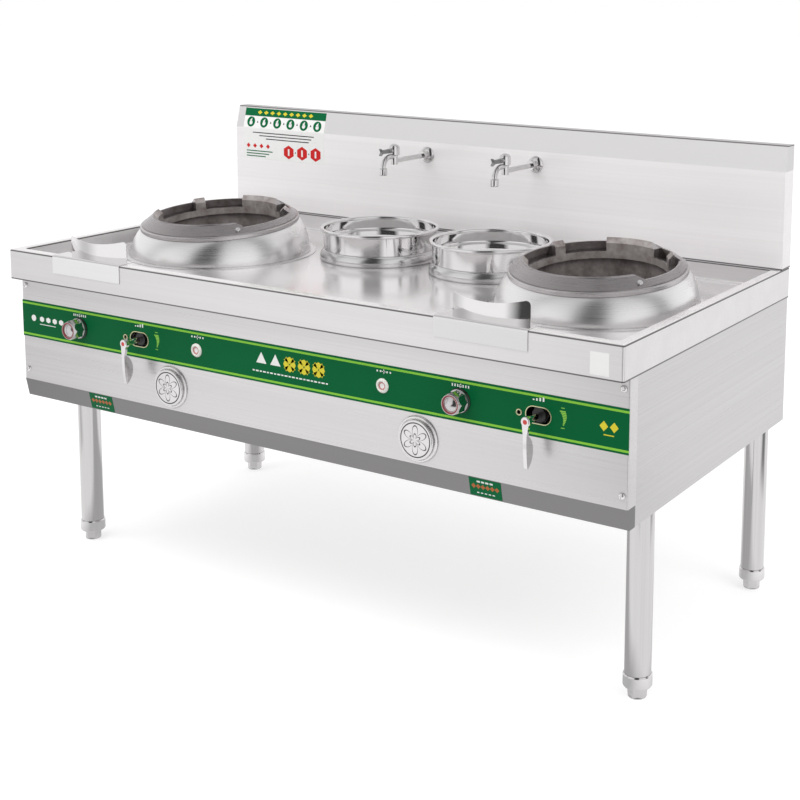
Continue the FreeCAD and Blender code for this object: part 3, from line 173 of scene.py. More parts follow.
def bump(tree, shader, height, strength, depth):
    made = add(tree, "ShaderNodeBump", {"Height": height, "Strength": strength,
                                        "Distance": depth})
    tree.links.new(made.outputs["Normal"], shader.inputs["Normal"])


def times(tree, first, second):
    return calculate(tree, "MULTIPLY", first, second)


def axes(tree, vector):
    """The x, y and z of a vector."""
    split = add(tree, "ShaderNodeSeparateXYZ", {"Vector": vector})
    return tuple(split.outputs[axis] for axis in range(3))


def distance(tree, across, along):
    """The length of two steps at right angles."""
    squares = calculate(tree, "MULTIPLY_ADD", across, across, times(tree, along, along))
    return calculate(tree, "SQRT", squares)


def apart(tree, first, second):
    """How far two values lie apart."""
    return calculate(tree, "ABSOLUTE", calculate(tree, "SUBTRACT", first, second))


def under(tree, value, edge, soft):
    """1 where a value is under the edge and 0 over it, with a soft step between."""
    return spread(tree, value, 1.0, 0.0, edge - soft, edge + soft)


def over(tree, value, edge, soft):
    """0 where a value is under the edge and 1 over it, with a soft step between."""
    return spread(tree, value, 0.0, 1.0, edge - soft, edge + soft)


def between(tree, value, dark, pale):
    """From dark to pale over the middle of a noise's range."""
    return blend_colours(tree, spread(tree, value, 0.0, 1.0), dark, pale)


def dimmed(tree, colour, factor):
    """A colour times a factor."""
    made = add(tree, "ShaderNodeMix", {"Factor": 1.0, 6: colour, 7: factor}, data_type="RGBA",
               blend_type="MULTIPLY")
    return made.outputs[2]


def feed(tree, shader, colour=None, rough=None, metal=None, shine=None):
    """Gives a shader what is named, from other nodes or as plain values."""
    for name, source in (("Base Color", colour), ("Roughness", rough), ("Metallic", metal),
                         ("Specular IOR Level", shine)):
        if isinstance(source, bpy.types.NodeSocket):
            tree.links.new(source, shader.inputs[name])
        elif source is not None:
            shader.inputs[name].default_value = source


print("node helpers ready")


# %% [markdown]
# ## Dark seams
# Where two sheets meet, shade lies in a thin dark line, and here it is painted into the
# colour. The occlusion node finds those places: it says how open a point is within a few
# millimetres.

# %% Shade in the seams
SEAM_REACH = 9 * MM
SPUN_SEAM_REACH = 6 * MM
SEAM_SHADE = 0.30
SEAM_SAMPLES = 6


def shade_seams(tree, shader, reach=SEAM_REACH):
    """Darkens a shader's colour in narrow gaps and corners: painted shade."""
    clean = shader.inputs["Base Color"].links[0].from_socket
    made = add(tree, "ShaderNodeAmbientOcclusion", {"Distance": reach}, samples=SEAM_SAMPLES)
    open_sky = spread(tree, made.outputs["AO"], SEAM_SHADE, 1.0, 0.15, 0.75)
    feed(tree, shader, colour=dimmed(tree, clean, open_sky))


print("seams reach", round(SEAM_REACH / MM), "mm")


# %% [markdown]
# ## Brushed sheet
# Sheet steel is ground along one direction, which leaves hair-fine lines. Noise that is
# squeezed across the grain and stretched along it gives those lines. Three widths are laid
# over each other: hairs, streaks that reach across a panel, and faint wide shades. The
# same noise drives roughness, so highlights break up into streaks, as on real sheet.
#
# At the rim, the apron's lower edge and the backsplash's top the sheet is folded over, and
# the backsplash's foot is a seam. The shadow at each is painted as a thin dark line, drawn in
# the material by its height. The strip at the top of the backsplash leans back and is
# painted darker, as painted shade. The counter's upright faces get a little painted shade
# beside its level ones.

# %% Brushed sheet steel
# painted shadow: the colour of the thin dark lines at the folds and the seam
HEM_SHADE = 0.17
HEM_WIDTH = 3.2 * MM
HEM_EDGE = 0.4 * MM         # how softly a hem's line begins and ends
RIM_FOLD = 1.4 * MM         # from the rim's top down to the painted shadow line at its fold
STRIP_SHADE_SHARE = 0.74          # the leaning strip's painted shade: its paleness beside the sheet below it
UPRIGHT_SHADE_SHARE = 0.93        # an upright face's painted shade: its paleness beside a level one
LOOKS_UP = (0.6, 0.95)      # between these rises of its normal a face becomes level
HAIR_SHARE = 0.55           # the hairs' part in the lines, the streaks have the rest


def brushed_sheet(name, grain, tone, roughness=0.30, streak=0.09, relief=0.12, level=None,
                  metal=1.0, darker_above=None, hem_shadows=()):
    """Steel brushed along one direction.

    level is the roughness of faces that look up, and with it upright faces get painted shade;
    darker_above is a height over which the sheet is painted darker, as painted shade; and hems
    are the lower and upper heights of its dark lines of painted shadow.
    """
    material, tree, shader = new_material(name)
    hair = noise(tree, place_on(tree, grain), 1.0, 5.0, 0.65)
    wide = noise(tree, place_on(tree, tuple(g * 0.16 for g in grain)), 1.0, 4.0, 0.6)
    shade = noise(tree, place_on(tree, tuple(g * 0.025 + 0.4 for g in grain)), 1.0, 2.0, 0.5)
    lines = calculate(tree, "MULTIPLY_ADD", hair, HAIR_SHARE, times(tree, wide, 1 - HAIR_SHARE))
    colour = blend_colours(tree, spread(tree, lines, 0.0, 1.0, 0.36, 0.62),
                           grey(tone - streak, 0.016), grey(tone + streak * 0.5, 0.008))
    colour = blend_colours(tree, spread(tree, shade, 0.0, 0.6), colour, grey(tone * 0.92, 0.012))
    height = axes(tree, place_on(tree))[2]
    # painted shade: the sheet above the fold is darker
    if darker_above is not None:
        strip_shade = over(tree, height, darker_above, MM)
        colour = blend_colours(tree, strip_shade, colour, grey(tone * STRIP_SHADE_SHARE, 0.008))
    # painted shadow: a thin dark line at each fold and at the seam
    for low, high in hem_shadows:
        off = apart(tree, height, (low + high) / 2)
        hem = under(tree, off, (high - low) / 2, HEM_EDGE)
        colour = blend_colours(tree, hem, colour, grey(HEM_SHADE, 0.02))
    rough = spread(tree, lines, roughness * 0.8, roughness * 1.25)
    # painted shade: upright faces are a little darker than level ones
    if level is not None:
        rise = axes(tree, add(tree, "ShaderNodeTexCoord").outputs["Normal"])[2]
        flat = spread(tree, rise, 1.0, level / roughness, *LOOKS_UP)
        rough = times(tree, rough, flat)
        colour = dimmed(tree, colour, spread(tree, rise, UPRIGHT_SHADE_SHARE, 1.0, *LOOKS_UP))
    feed(tree, shader, colour, rough, metal)
    bump(tree, shader, lines, relief, 0.0002)
    shade_seams(tree, shader)
    return material


ALONG_X = (2.2, 800.0, 800.0)    # how finely the noise is drawn along each axis
ALONG_Y = (800.0, 2.2, 800.0)
ALONG_Z = (700.0, 700.0, 2.5)
sheet_along_x = brushed_sheet("brushed_along_x", ALONG_X, tone=0.76, metal=0.85)
sheet_along_y = brushed_sheet("brushed_along_y", ALONG_Y, tone=0.68, metal=0.85)
tube_along_z = brushed_sheet("brushed_along_z", ALONG_Z, tone=0.68, roughness=0.12, streak=0.05,
                             relief=0.03)
FOLD_DROP = 65 * MM              # the strip above the fold leans back
FOLD_LEAN = 17 * MM
fold_z = splash_high.z - FOLD_DROP
foot_shadow_line = (splash_low.z, splash_low.z + HEM_WIDTH)
top_shadow_line = (splash_high.z - HEM_WIDTH, splash_high.z)
splash_sheet = brushed_sheet("splash_sheet", ALONG_X, tone=0.95, roughness=0.40, streak=0.05,
                             metal=0.30, darker_above=fold_z, hem_shadows=(foot_shadow_line, top_shadow_line))
apron_shadow_line = (counter_low.z, counter_low.z + HEM_WIDTH)
rim_line = counter_high.z - RIM_FOLD
rim_shadow_line = (rim_line - HEM_WIDTH, rim_line)
counter_sheet = brushed_sheet("counter_sheet", ALONG_X, tone=0.88, roughness=0.34, streak=0.06,
                              relief=0.05, level=0.15, metal=0.70, hem_shadows=(apron_shadow_line, rim_shadow_line))
print("brushed sheets made, the backsplash folds at", round(fold_z, 3))


# %% [markdown]
# ## Guards with a satin tongue
# Each flame guard is one bent sheet. Its wall is polished, and the tongue that hangs over
# the apron is left dull. The two finishes meet at the height of the counter's rim.

# %% Polished wall, dull tongue
# The right tongue is painted darker than the left, as painted shade.
TONGUE_SHADE_TONES = {"left": 0.94, "right": 0.84}
TONGUE_ROUGH = 0.34          # what the tongue's roughness has more than the wall's
TONGUE_BELOW_RIM = 3 * MM
MEETING_WIDTH = 2 * MM


def guard_finish(name, tongue_tone):
    material, tree, shader = new_material(name)
    hair = noise(tree, place_on(tree, ALONG_X), 1.0, 4.0, 0.6)
    rim = counter_high.z - TONGUE_BELOW_RIM
    dull = spread(tree, axes(tree, place_on(tree))[2], 1.0, 0.0, rim, rim + MEETING_WIDTH)
    polished = blend_colours(tree, hair, grey(0.80, 0.01), grey(0.88, 0.01))
    satin = blend_colours(tree, hair, grey(tongue_tone * 0.92, 0.006), grey(tongue_tone, 0.006))
    rough = calculate(tree, "MULTIPLY_ADD", dull, TONGUE_ROUGH, spread(tree, hair, 0.06, 0.12))
    feed(tree, shader, blend_colours(tree, dull, polished, satin), rough,
         calculate(tree, "MULTIPLY_ADD", dull, -0.5, 1.0))
    bump(tree, shader, hair, 0.04, 0.0002)
    return material


guard_sheet = {side: guard_finish("guard_" + side, TONGUE_SHADE_TONES[side]) for side in SIDES}
print("guards finished, tongues", TONGUE_SHADE_TONES)


# %% [markdown]
# ## Spun metal
# A spun skirt or pot turns under the polishing wheel, so its lines run round it. The
# pattern is laid out in radius and height about the piece's own axis: both change fast,
# the angle hardly at all, and the noise becomes rings.

# %% Spun steel
SPUN_RINGS = 420.0           # how finely the rings are drawn
POT_BASIN = 100 * MM         # a pot is scoured within this radius


def from_axis(tree, centre):
    """Distance and angle about an upright axis, and the height."""
    x, y, z = axes(tree, place_on(tree, location=(-centre.x, -centre.y, 0)))
    return distance(tree, x, y), calculate(tree, "ARCTAN2", y, x), z


def ring_lines(tree, radius, angle, z, fineness, detail):
    """Noise drawn out into rings about an upright axis."""
    rolled = add(tree, "ShaderNodeCombineXYZ", {
        0: times(tree, radius, fineness),
        1: times(tree, z, fineness),
        2: calculate(tree, "SINE", angle)})
    return noise(tree, rolled.outputs[0], 1.0, detail)


def spun_metal(name, centre, tone, roughness, streak, relief, basin=None):
    """Rings about the axis; inside the radius of a basin the metal is scoured and duller."""
    material, tree, shader = new_material(name)
    radius, angle, z = from_axis(tree, centre)
    lines = ring_lines(tree, radius, angle, z, SPUN_RINGS, 4.0)
    cloud = noise(tree, place_on(tree), 5.0, 2.0, 0.5)
    colour = between(tree, lines, grey(tone - streak, 0.008), grey(tone + streak * 0.4, 0.004))
    rough = calculate(tree, "MULTIPLY_ADD", lines, roughness * 0.5,
                      spread(tree, cloud, roughness * 0.65, roughness * 0.85))
    metal = 1.0
    if basin is not None:
        scoured = spread(tree, radius, 1.0, 0.0, basin, basin + 4 * MM)
        rough = calculate(tree, "MULTIPLY_ADD", scoured, 0.25, rough)
        metal = calculate(tree, "MULTIPLY_ADD", scoured, -0.35, 1.0)
    feed(tree, shader, colour, rough, metal)
    bump(tree, shader, lines, relief, 0.0002)
    shade_seams(tree, shader, SPUN_SEAM_REACH)
    return material


spun_steel = {side: spun_metal("spun_skirt_" + side, ring_places[side], tone=0.96,
                               roughness=0.30, streak=0.05, relief=0.02) for side in SIDES}
pot_steel = {side: spun_metal("spun_pot_" + side, pot_places[side], tone=0.88, roughness=0.05,
                              streak=0.03, relief=0.01, basin=POT_BASIN) for side in SIDES}
collar_steel = {side: spun_metal("spun_collar_" + side, pot_places[side], tone=0.78,
                                 roughness=0.22, streak=0.08, relief=0.05) for side in SIDES}
print("spun finishes made")


# %% [markdown]
# ## Cast rings
# The rings are cast and then turned outside, so their cone is a fine satin, while the wall
# inside keeps the rough, heat-stained skin of the casting. The lip and the bead at the foot
# are painted paler, a painted highlight where light catches their rounded edges.

# %% Cast and turned rings
TURNED_FROM = 164.5 * MM    # the casting is turned outside this radius
LIP_TO = 180 * MM           # the lip's painted highlight lies within this radius
BEAD_FROM = 211 * MM        # the bead's painted highlight lies outside this one
HIGHLIGHT_TONE = 0.62
TURNED_LINES = 500.0        # how finely the turned lines are drawn
RING_SOOT = (0.22, 0.185, 0.175, 1.0)
RING_ASH = (0.52, 0.485, 0.475, 1.0)


def ring_metal(name, centre):
    material, tree, shader = new_material(name)
    radius, angle, z = from_axis(tree, centre)
    inside = spread(tree, radius, 1.0, 0.0, TURNED_FROM, TURNED_FROM + 2 * MM)
    normal = add(tree, "ShaderNodeTexCoord").outputs["Normal"]
    away = add(tree, "ShaderNodeVectorMath", {
        0: place_on(tree, (1, 1, 0), (-centre.x, -centre.y, 0))}, operation="NORMALIZE").outputs[0]
    outward = add(tree, "ShaderNodeVectorMath", {0: normal, 1: away},
                  operation="DOT_PRODUCT").outputs["Value"]
    inside = calculate(tree, "MAXIMUM", inside, spread(tree, outward, 1.0, 0.0, -0.25, -0.10))
    # painted highlight: the lip and the bead are paler
    lip_and_bead_highlight = calculate(tree, "MAXIMUM", over(tree, radius, BEAD_FROM, MM),
                       under(tree, radius, LIP_TO, MM))
    sand = noise(tree, place_on(tree), 700.0, 4.0, 0.7)
    stain = noise(tree, place_on(tree), 26.0, 5.0, 0.7)
    turned = ring_lines(tree, radius, angle, z, TURNED_LINES, 3.0)
    satin = between(tree, turned, grey(0.38, 0.035), grey(0.43, 0.03))
    satin = blend_colours(tree, lip_and_bead_highlight, satin, grey(HIGHLIGHT_TONE, 0.02))
    skin = between(tree, stain, RING_SOOT, RING_ASH)
    rough = calculate(tree, "MULTIPLY_ADD", inside, 0.28, spread(tree, turned, 0.24, 0.34))
    feed(tree, shader, blend_colours(tree, inside, satin, skin), rough,
         calculate(tree, "MULTIPLY_ADD", inside, -0.55, 1.0))
    grain = times(tree, sand, calculate(tree, "MULTIPLY_ADD", inside, 0.85, 0.15))
    bump(tree, shader, grain, 0.5, 0.0005)
    return material


ring_cast = {side: ring_metal("ring_cast_" + side, ring_places[side]) for side in SIDES}
print("rings turned outside", TURNED_FROM / MM, "mm")


# %% [markdown]
# ## Rough castings
# The burner heads stay as they leave the mould: a sandy, sooty skin with darker patches.

# %% Burner heads
def cast_metal(name, tone, roughness):
    material, tree, shader = new_material(name)
    sand = noise(tree, place_on(tree), 900.0, 4.0, 0.7)
    patch = noise(tree, place_on(tree), 22.0, 3.0, 0.6)
    colour = between(tree, patch, grey(tone * 0.75, 0.05), grey(tone * 1.15, 0.03))
    feed(tree, shader, colour, spread(tree, sand, roughness * 0.85, roughness * 1.2), 0.7)
    bump(tree, shader, sand, 0.35, 0.0004)
    return material


burner_cast = cast_metal("burner_cast", tone=0.12, roughness=0.6)
print("burner heads cast")


# %% [markdown]
# ## The bowl's air holes
# A row of small holes runs round the bowl just under the ring. They are only a few
# millimetres wide and look black with the shade inside them, so they are drawn in the
# material as dots of painted shade: the angle about the bowl's axis is cut into equal steps,
# and each step holds one dark dot.

# %% Bowl with a row of holes
HOLE_COUNT = 60
HOLE_RADIUS = 3.2 * MM
HOLE_EDGE = 0.5 * MM
BOWL_INSIDE = 182 * MM
HOLES_BELOW_RING = 70 * MM
BOWL_SOOT = (0.12, 0.10, 0.095, 1.0)
BOWL_ASH = (0.34, 0.31, 0.30, 1.0)


def bowl_metal(name, centre, holes_z):
    material, tree, shader = new_material(name)
    radius, angle, z = from_axis(tree, centre)
    steps = calculate(tree, "FRACT", calculate(tree, "MULTIPLY_ADD", angle,
                                               HOLE_COUNT / (2 * math.pi), HOLE_COUNT))
    pitch = 2 * math.pi * BOWL_INSIDE / HOLE_COUNT
    along = times(tree, calculate(tree, "SUBTRACT", steps, 0.5), pitch)
    above = calculate(tree, "SUBTRACT", z, holes_z)
    hole_shade = under(tree, distance(tree, along, above), HOLE_RADIUS, HOLE_EDGE)
    sand = noise(tree, place_on(tree), 800.0, 4.0, 0.7)
    patch = noise(tree, place_on(tree), 24.0, 5.0, 0.7)
    skin = between(tree, patch, BOWL_SOOT, BOWL_ASH)
    # painted shade: each hole is a near-black dot
    feed(tree, shader, blend_colours(tree, hole_shade, skin, grey(0.01)),
         spread(tree, sand, 0.6, 0.85), 0.3)
    bump(tree, shader, calculate(tree, "SUBTRACT", sand, times(tree, hole_shade, 3.0)), 0.5, 0.0006)
    return material


bowl_cast = {side: bowl_metal("bowl_cast_" + side, ring_places[side],
                              ring_places[side].z - HOLES_BELOW_RING) for side in SIDES}
print("bowls: holes at", [round(ring_places[side].z - HOLES_BELOW_RING, 3) for side in SIDES])


# %% [markdown]
# ## Plated metal
# Taps, knobs and levers are plated. Covers, feet and screws are bright steel. All of them
# mirror the room with faint waves.

# %% Chrome and bright steel
def plated(name, tone, roughness=0.06):
    material, tree, shader = new_material(name)
    wave = noise(tree, place_on(tree), 60.0, 2.0, 0.5)
    colour = between(tree, wave, grey(tone * 0.95, 0.01), grey(tone, 0.01))
    feed(tree, shader, colour, spread(tree, wave, roughness * 0.7, roughness * 1.3), 1.0)
    bump(tree, shader, wave, 0.03, 0.0004)
    return material, tree, shader


chrome = plated("chrome", 0.74)[0]
bright_steel = plated("bright_steel", 0.84, 0.16)[0]
print("plated metals made")


# %% [markdown]
# ## Rosettes on the round covers
# The two covers in the fascia are stamped discs. A plain rosette of six petals inside a
# ring is pressed into each, drawn here by distance and angle about the nearer cover. The
# grooves are painted dark, as painted shade in them.

# %% Stamped covers
COVER_RADIUS = 53 * MM
PETALS = 6
PETAL_SHORT = 9 * MM
PETAL_REACH = 24 * MM
INNER_PETAL = 0.45          # the inner outline's share of the outer one
RING_GROOVE = 39 * MM
GROOVE = 2.0 * MM


def cover_metal():
    material, tree, shader = plated("cover_plate", 0.84, 0.30)
    low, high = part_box("round_covers")
    x, y, z = axes(tree, place_on(tree))
    right_one = calculate(tree, "GREATER_THAN", x, (low.x + high.x) / 2)
    gap = high.x - low.x - 2 * COVER_RADIUS
    centre = calculate(tree, "MULTIPLY_ADD", right_one, gap, low.x + COVER_RADIUS)
    across = calculate(tree, "SUBTRACT", x, centre)
    above = calculate(tree, "SUBTRACT", z, (low.z + high.z) / 2)
    radius = distance(tree, across, above)
    turn = times(tree, calculate(tree, "ARCTAN2", above, across), PETALS / 2)
    swell = calculate(tree, "ABSOLUTE", calculate(tree, "SINE", turn))
    petal = calculate(tree, "MULTIPLY_ADD", swell, PETAL_REACH, PETAL_SHORT)
    lines = 0.0
    for edge in (petal, times(tree, petal, INNER_PETAL), RING_GROOVE):
        groove_shade = spread(tree, apart(tree, radius, edge), 1.0, 0.0, GROOVE * 0.4, GROOVE)
        lines = calculate(tree, "MAXIMUM", lines, groove_shade)
    metal = shader.inputs["Base Color"].links[0].from_socket
    # painted shade: the grooves are near-black
    feed(tree, shader, blend_colours(tree, lines, metal, grey(0.07, 0.03)))
    bump(tree, shader, lines, -0.6, 0.0008)
    return material


cover_plate = cover_metal()
print("covers stamped")


# %% [markdown]
# ## Paint and plastic
# Paint and plastic are not metals: their colour is in the base, under a clear gloss. The
# copper, brass and gold trim use the same recipe with a metallic share.

# %% Coated finishes
def coated(name, colour, roughness=0.35, mottle=0.06, metal=0.0, grain=400.0, shine=0.5):
    material, tree, shader = new_material(name)
    fleck = noise(tree, place_on(tree), grain, 3.0, 0.6)
    cloud = noise(tree, place_on(tree), 6.0, 2.0, 0.5)
    mixed = calculate(tree, "MULTIPLY_ADD", fleck, 0.5, times(tree, cloud, 0.5))
    dark = tuple(c * (1 - mottle) for c in colour) + (1.0,)
    light = tuple(min(1.0, c * (1 + mottle)) for c in colour) + (1.0,)
    feed(tree, shader, between(tree, mixed, dark, light),
         spread(tree, mixed, roughness * 0.85, roughness * 1.15), metal, shine)
    bump(tree, shader, fleck, 0.04, 0.0002)
    return material


black_plastic = coated("black_plastic", (0.010, 0.010, 0.010), 0.3)
bezel_white = coated("bezel_white", (0.86, 0.85, 0.80), 0.25, 0.02)
handle_grey = coated("handle_grey", (0.20, 0.20, 0.20), 0.45)
pipe_yellow = coated("pipe_yellow", (0.70, 0.50, 0.05), 0.4)
copper = coated("copper_pipe", (0.75, 0.38, 0.24), 0.3, metal=1.0)
brass = coated("brass", (0.72, 0.53, 0.26), 0.25, metal=1.0)
gold_trim = coated("gold_trim", (0.66, 0.64, 0.40), 0.28, metal=0.8)
frame_paint = coated("frame_paint", (0.20, 0.21, 0.22), 0.5)
blower_paint = coated("blower_paint", (0.05, 0.055, 0.065), 0.4)
print("coated finishes made")


# %% [markdown]
# ## The grey strip
# The slanted strip under the fascia faces the floor a little. It has the same grain as the
# fascia but a darker, flatter satin.

# %% Strip finish
strip_sheet = brushed_sheet("strip_sheet", ALONG_X, tone=0.29, roughness=0.42, streak=0.025,
                            relief=0.08)
print("strip finished")


# %% [markdown]
# ## Enamel on chrome
# Each lever's boss has a round red inset and each knob a dull red ring round its domed
# face. Both are thin enamel in the metal's surface, so they are painted in the material:
# the distance from the control's own shaft, and the depth, say where the enamel lies. The
# white igniter buttons have a red ring of the same kind.

# %% Enamelled controls
KNOB_FACE = 5 * MM          # the enamelled flat lies within this depth of the knob's front
KNOB_RING = (15.6 * MM, 21.0 * MM)
KNOB_RED = (0.26, 0.045, 0.05)
LEVER_FACE = 3 * MM
LEVER_INSET = (-1.0, 5.2 * MM)    # the lower edge lies below zero, so the inset is a disc
LEVER_RED = (0.62, 0.06, 0.05)
BUTTON_RING = (6.0 * MM, 9.0 * MM)
BUTTON_RED = (0.55, 0.20, 0.18, 1.0)
ENAMEL_EDGE = 0.4 * MM


def from_shaft(tree, centre):
    """Distance from the line through a control that points to the front, and the depth."""
    x, y, z = axes(tree, place_on(tree, location=(-centre.x, 0, -centre.z)))
    return distance(tree, x, z), y


def enamelled(name, centre, ring, depth, colour, tone=0.84, gloss=0.10):
    """Plated metal with enamel between two radii, from the front to a depth."""
    material, tree, shader = plated(name, tone, gloss)
    radius, y = from_shaft(tree, centre)
    within = times(tree, over(tree, radius, ring[0], ENAMEL_EDGE),
                   under(tree, radius, ring[1], ENAMEL_EDGE))
    mask = times(tree, within, calculate(tree, "LESS_THAN", y, depth))
    metal = shader.inputs["Base Color"].links[0].from_socket
    fleck = noise(tree, place_on(tree), 500.0, 2.0)
    enamel = blend_colours(tree, fleck, tuple(c * 0.9 for c in colour) + (1.0,), colour + (1.0,))
    feed(tree, shader, blend_colours(tree, mask, metal, enamel),
         metal=calculate(tree, "SUBTRACT", 1.0, mask))
    return material


def button_plastic(name, centre):
    """White plastic with a dull red ring near the button's edge."""
    material, tree, shader = new_material(name)
    radius = from_shaft(tree, centre)[0]
    ring = times(tree, over(tree, radius, BUTTON_RING[0], MM),
                 under(tree, radius, BUTTON_RING[1], 0.5 * MM))
    fleck = noise(tree, place_on(tree), 500.0, 2.0)
    white = blend_colours(tree, fleck, grey(0.80), grey(0.88))
    feed(tree, shader, blend_colours(tree, ring, white, BUTTON_RED),
         spread(tree, fleck, 0.20, 0.30))
    bump(tree, shader, fleck, 0.03, 0.0002)
    return material


button_white = {side: button_plastic("button_white_" + side, middle("igniter_button_" + side))
                for side in SIDES}
control_z = middle("gas_knob_left").z
knob_metal = {}
lever_metal = {}
for side in SIDES:
    low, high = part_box("gas_knob_" + side)
    knob_metal[side] = enamelled("knob_metal_" + side, (low + high) / 2, KNOB_RING,
                                 low.y + KNOB_FACE, KNOB_RED, tone=0.62, gloss=0.16)
    low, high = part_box("air_lever_" + side)
    boss = Vector(((low.x + high.x) / 2, 0, control_z))
    lever_metal[side] = enamelled("lever_metal_" + side, boss, LEVER_INSET,
                                  low.y + LEVER_FACE, LEVER_RED)
print("enamelled controls made")


# %% [markdown]
# ## The printed band
# The band is a dark green strip with a lime line just inside its upper and lower edges.
# The lines are part of the print, so they are drawn in the material, by the distance from
# the band's edges.

# %% Printed band
LINE_INSET = 4.5 * MM
LINE_WIDTH = 5.0 * MM
LIME = (0.245, 0.58, 0.06)
BAND_DARK = (0.001, 0.108, 0.032, 1)
BAND_PALE = (0.001, 0.124, 0.038, 1)


def printed_band():
    material, tree, shader = new_material("printed_band")
    half = (band_high.z - band_low.z) / 2
    height = axes(tree, place_on(tree))[2]
    from_middle = apart(tree, height, (band_high.z + band_low.z) / 2)
    from_edge = calculate(tree, "SUBTRACT", half, from_middle)
    off_line = apart(tree, from_edge, LINE_INSET + LINE_WIDTH / 2)
    line = calculate(tree, "LESS_THAN", off_line, LINE_WIDTH / 2)
    fleck = noise(tree, place_on(tree), 300.0, 3.0)
    cloud = noise(tree, place_on(tree), 3.0, 2.0)
    shade = calculate(tree, "MULTIPLY_ADD", fleck, 0.25, times(tree, cloud, 0.75))
    green = between(tree, shade, BAND_DARK, BAND_PALE)
    feed(tree, shader, blend_colours(tree, line, green, LIME + (1.0,)),
         spread(tree, fleck, 0.30, 0.38), shine=0.08)
    bump(tree, shader, fleck, 0.02, 0.0002)
    return material


band_print = printed_band()
print("band printed")


# %% [markdown]
# ## Giving the CAD nodes their finishes
# A node that stays keeps its mesh. Only the material in its slot changes.

# %% Dress the CAD nodes
def dress(node, material):
    for slot in nodes[node].material_slots:
        slot.material = material


FINISHES = {
    "counter_top": counter_sheet, "backsplash": splash_sheet, "front_panel": sheet_along_x,
    "control_band": band_print, "lower_trim_strip": strip_sheet, "back_panel": sheet_along_x,
    "bottom_panel": sheet_along_x, "base_frame": frame_paint, "knob_bezels": black_plastic,
    "slot_trims": gold_trim, "round_covers": cover_plate, "fascia_screws": bright_steel,
    "gas_manifold": pipe_yellow, "gas_feed_pipes": copper, "water_pipe": bright_steel,
    "drain_outlet": bright_steel, "air_duct": sheet_along_x, "blower": blower_paint,
}
PAIR_FINISHES = {
    "side_panel": sheet_along_y, "ring_bolt": bright_steel, "burner_head": burner_cast,
    "tap_body": chrome, "tap_handle": handle_grey, "gas_valve": brass,
    "lever_valve": black_plastic, "button_bezel": bezel_white, "leg_front": tube_along_z,
    "leg_rear": tube_along_z, "foot_front": bright_steel, "foot_rear": bright_steel,
}
SIDED_FINISHES = {
    "wok_ring": ring_cast, "burner_skirt": spun_steel, "combustion_bowl": bowl_cast,
    "flame_guard": guard_sheet, "pot_collar": collar_steel, "warming_pot": pot_steel,
    "gas_knob": knob_metal, "air_lever": lever_metal, "igniter_button": button_white,
}
for side in SIDES:
    for name, finish in PAIR_FINISHES.items():
        FINISHES[name + "_" + side] = finish
    for name, finishes in SIDED_FINISHES.items():
        FINISHES[name + "_" + side] = finishes[side]
for name, finish in FINISHES.items():
    dress(name, finish)
print("dressed", len(FINISHES), "nodes of", len(nodes))


# %% [markdown]
# ## Thin prints
# The marks beside the controls are printed shapes: drops, sparks, ticks and lozenges. Each
# is a flat face with a few sides, stamped in the plane of its panel, and all marks of one
# colour are drawn out together to the thickness of a transfer film.

# %% Stamps
FILM = 0.25 * MM


def stamp(made, sides, width, height, x, z, turn=0.0):
    """A flat shape with so many sides, facing the front, its middle at x and z."""
    flat = bmesh.ops.create_circle(made, cap_ends=True, segments=sides, radius=0.5)["verts"]
    bmesh.ops.rotate(made, verts=flat, cent=(0, 0, 0), matrix=Matrix.Rotation(turn, 3, "Z"))
    bmesh.ops.scale(made, verts=flat, vec=(width, height, 1))
    bmesh.ops.rotate(made, verts=flat, cent=(0, 0, 0), matrix=Matrix.Rotation(math.pi / 2, 3, "X"))
    bmesh.ops.translate(made, verts=flat, vec=(x, 0, z))


def bar(made, width, height, x, z):
    """An upright rectangle: a square's corners lie at half a right angle."""
    stamp(made, 4, width * math.sqrt(2), height * math.sqrt(2), x, z, math.pi / 4)


def finish_print(name, made, material, depth_at, film=FILM):
    """Lays the flat faces on the surface y = depth_at(z), gives them a film's thickness."""
    for vertex in made.verts:
        vertex.co.y = depth_at(vertex.co.z)
    drawn = bmesh.ops.extrude_face_region(made, geom=made.faces[:])["geom"]
    front = [item for item in drawn if isinstance(item, bmesh.types.BMVert)]
    bmesh.ops.translate(made, verts=front, vec=(0, -film, 0))
    bmesh.ops.recalc_face_normals(made, faces=made.faces[:])
    mesh = bpy.data.meshes.new(name)
    made.to_mesh(mesh)
    made.free()
    mesh.materials.append(material)
    piece = bpy.data.objects.new(name, mesh)
    bpy.context.scene.collection.objects.link(piece)
    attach(piece, "range")
    print(name, len(mesh.polygons), "faces")


print_white = coated("print_white", (0.86, 0.87, 0.85), 0.35, 0.02)
print_lime = coated("print_lime", LIME, 0.35, 0.04)
print_yellow = coated("print_yellow", (0.72, 0.62, 0.02), 0.35, 0.04)
print("inks ready, a film is", FILM / MM, "mm thick")


# %% [markdown]
# ## Marks on the band
# A flame drop between short ticks stands over each gas knob, four growing ticks over each
# air slot and a spark between dots over each igniter button. Beside each slot a lime scale
# of bars grows upwards, to show which way the lever opens. Two triangles and three rosettes
# of lozenges fill the long middle over a broken line. A disc and four hexagons stand at the
# left end, partly over a line, and two lozenges over a line at the right.

# %% Marks over the controls
MARK_RISE = 33 * MM         # marks above the line of the controls
DROP_SHIFT = 2 * MM         # the drop stands a little right of its knob
DROP_WIDE = 6 * MM
DROP_TIP = 9 * MM
SHORT_TICK_PITCH = 7 * MM
TICK_PITCH = 8 * MM
SPARK_SHIFT = 4 * MM        # the spark stands a little right of its button
SPARK_LONG, SPARK_THIN = 12 * MM, 4 * MM
DOT = 4 * MM
DOT_PITCH = 9 * MM


def band_face(z):
    return band_low.y


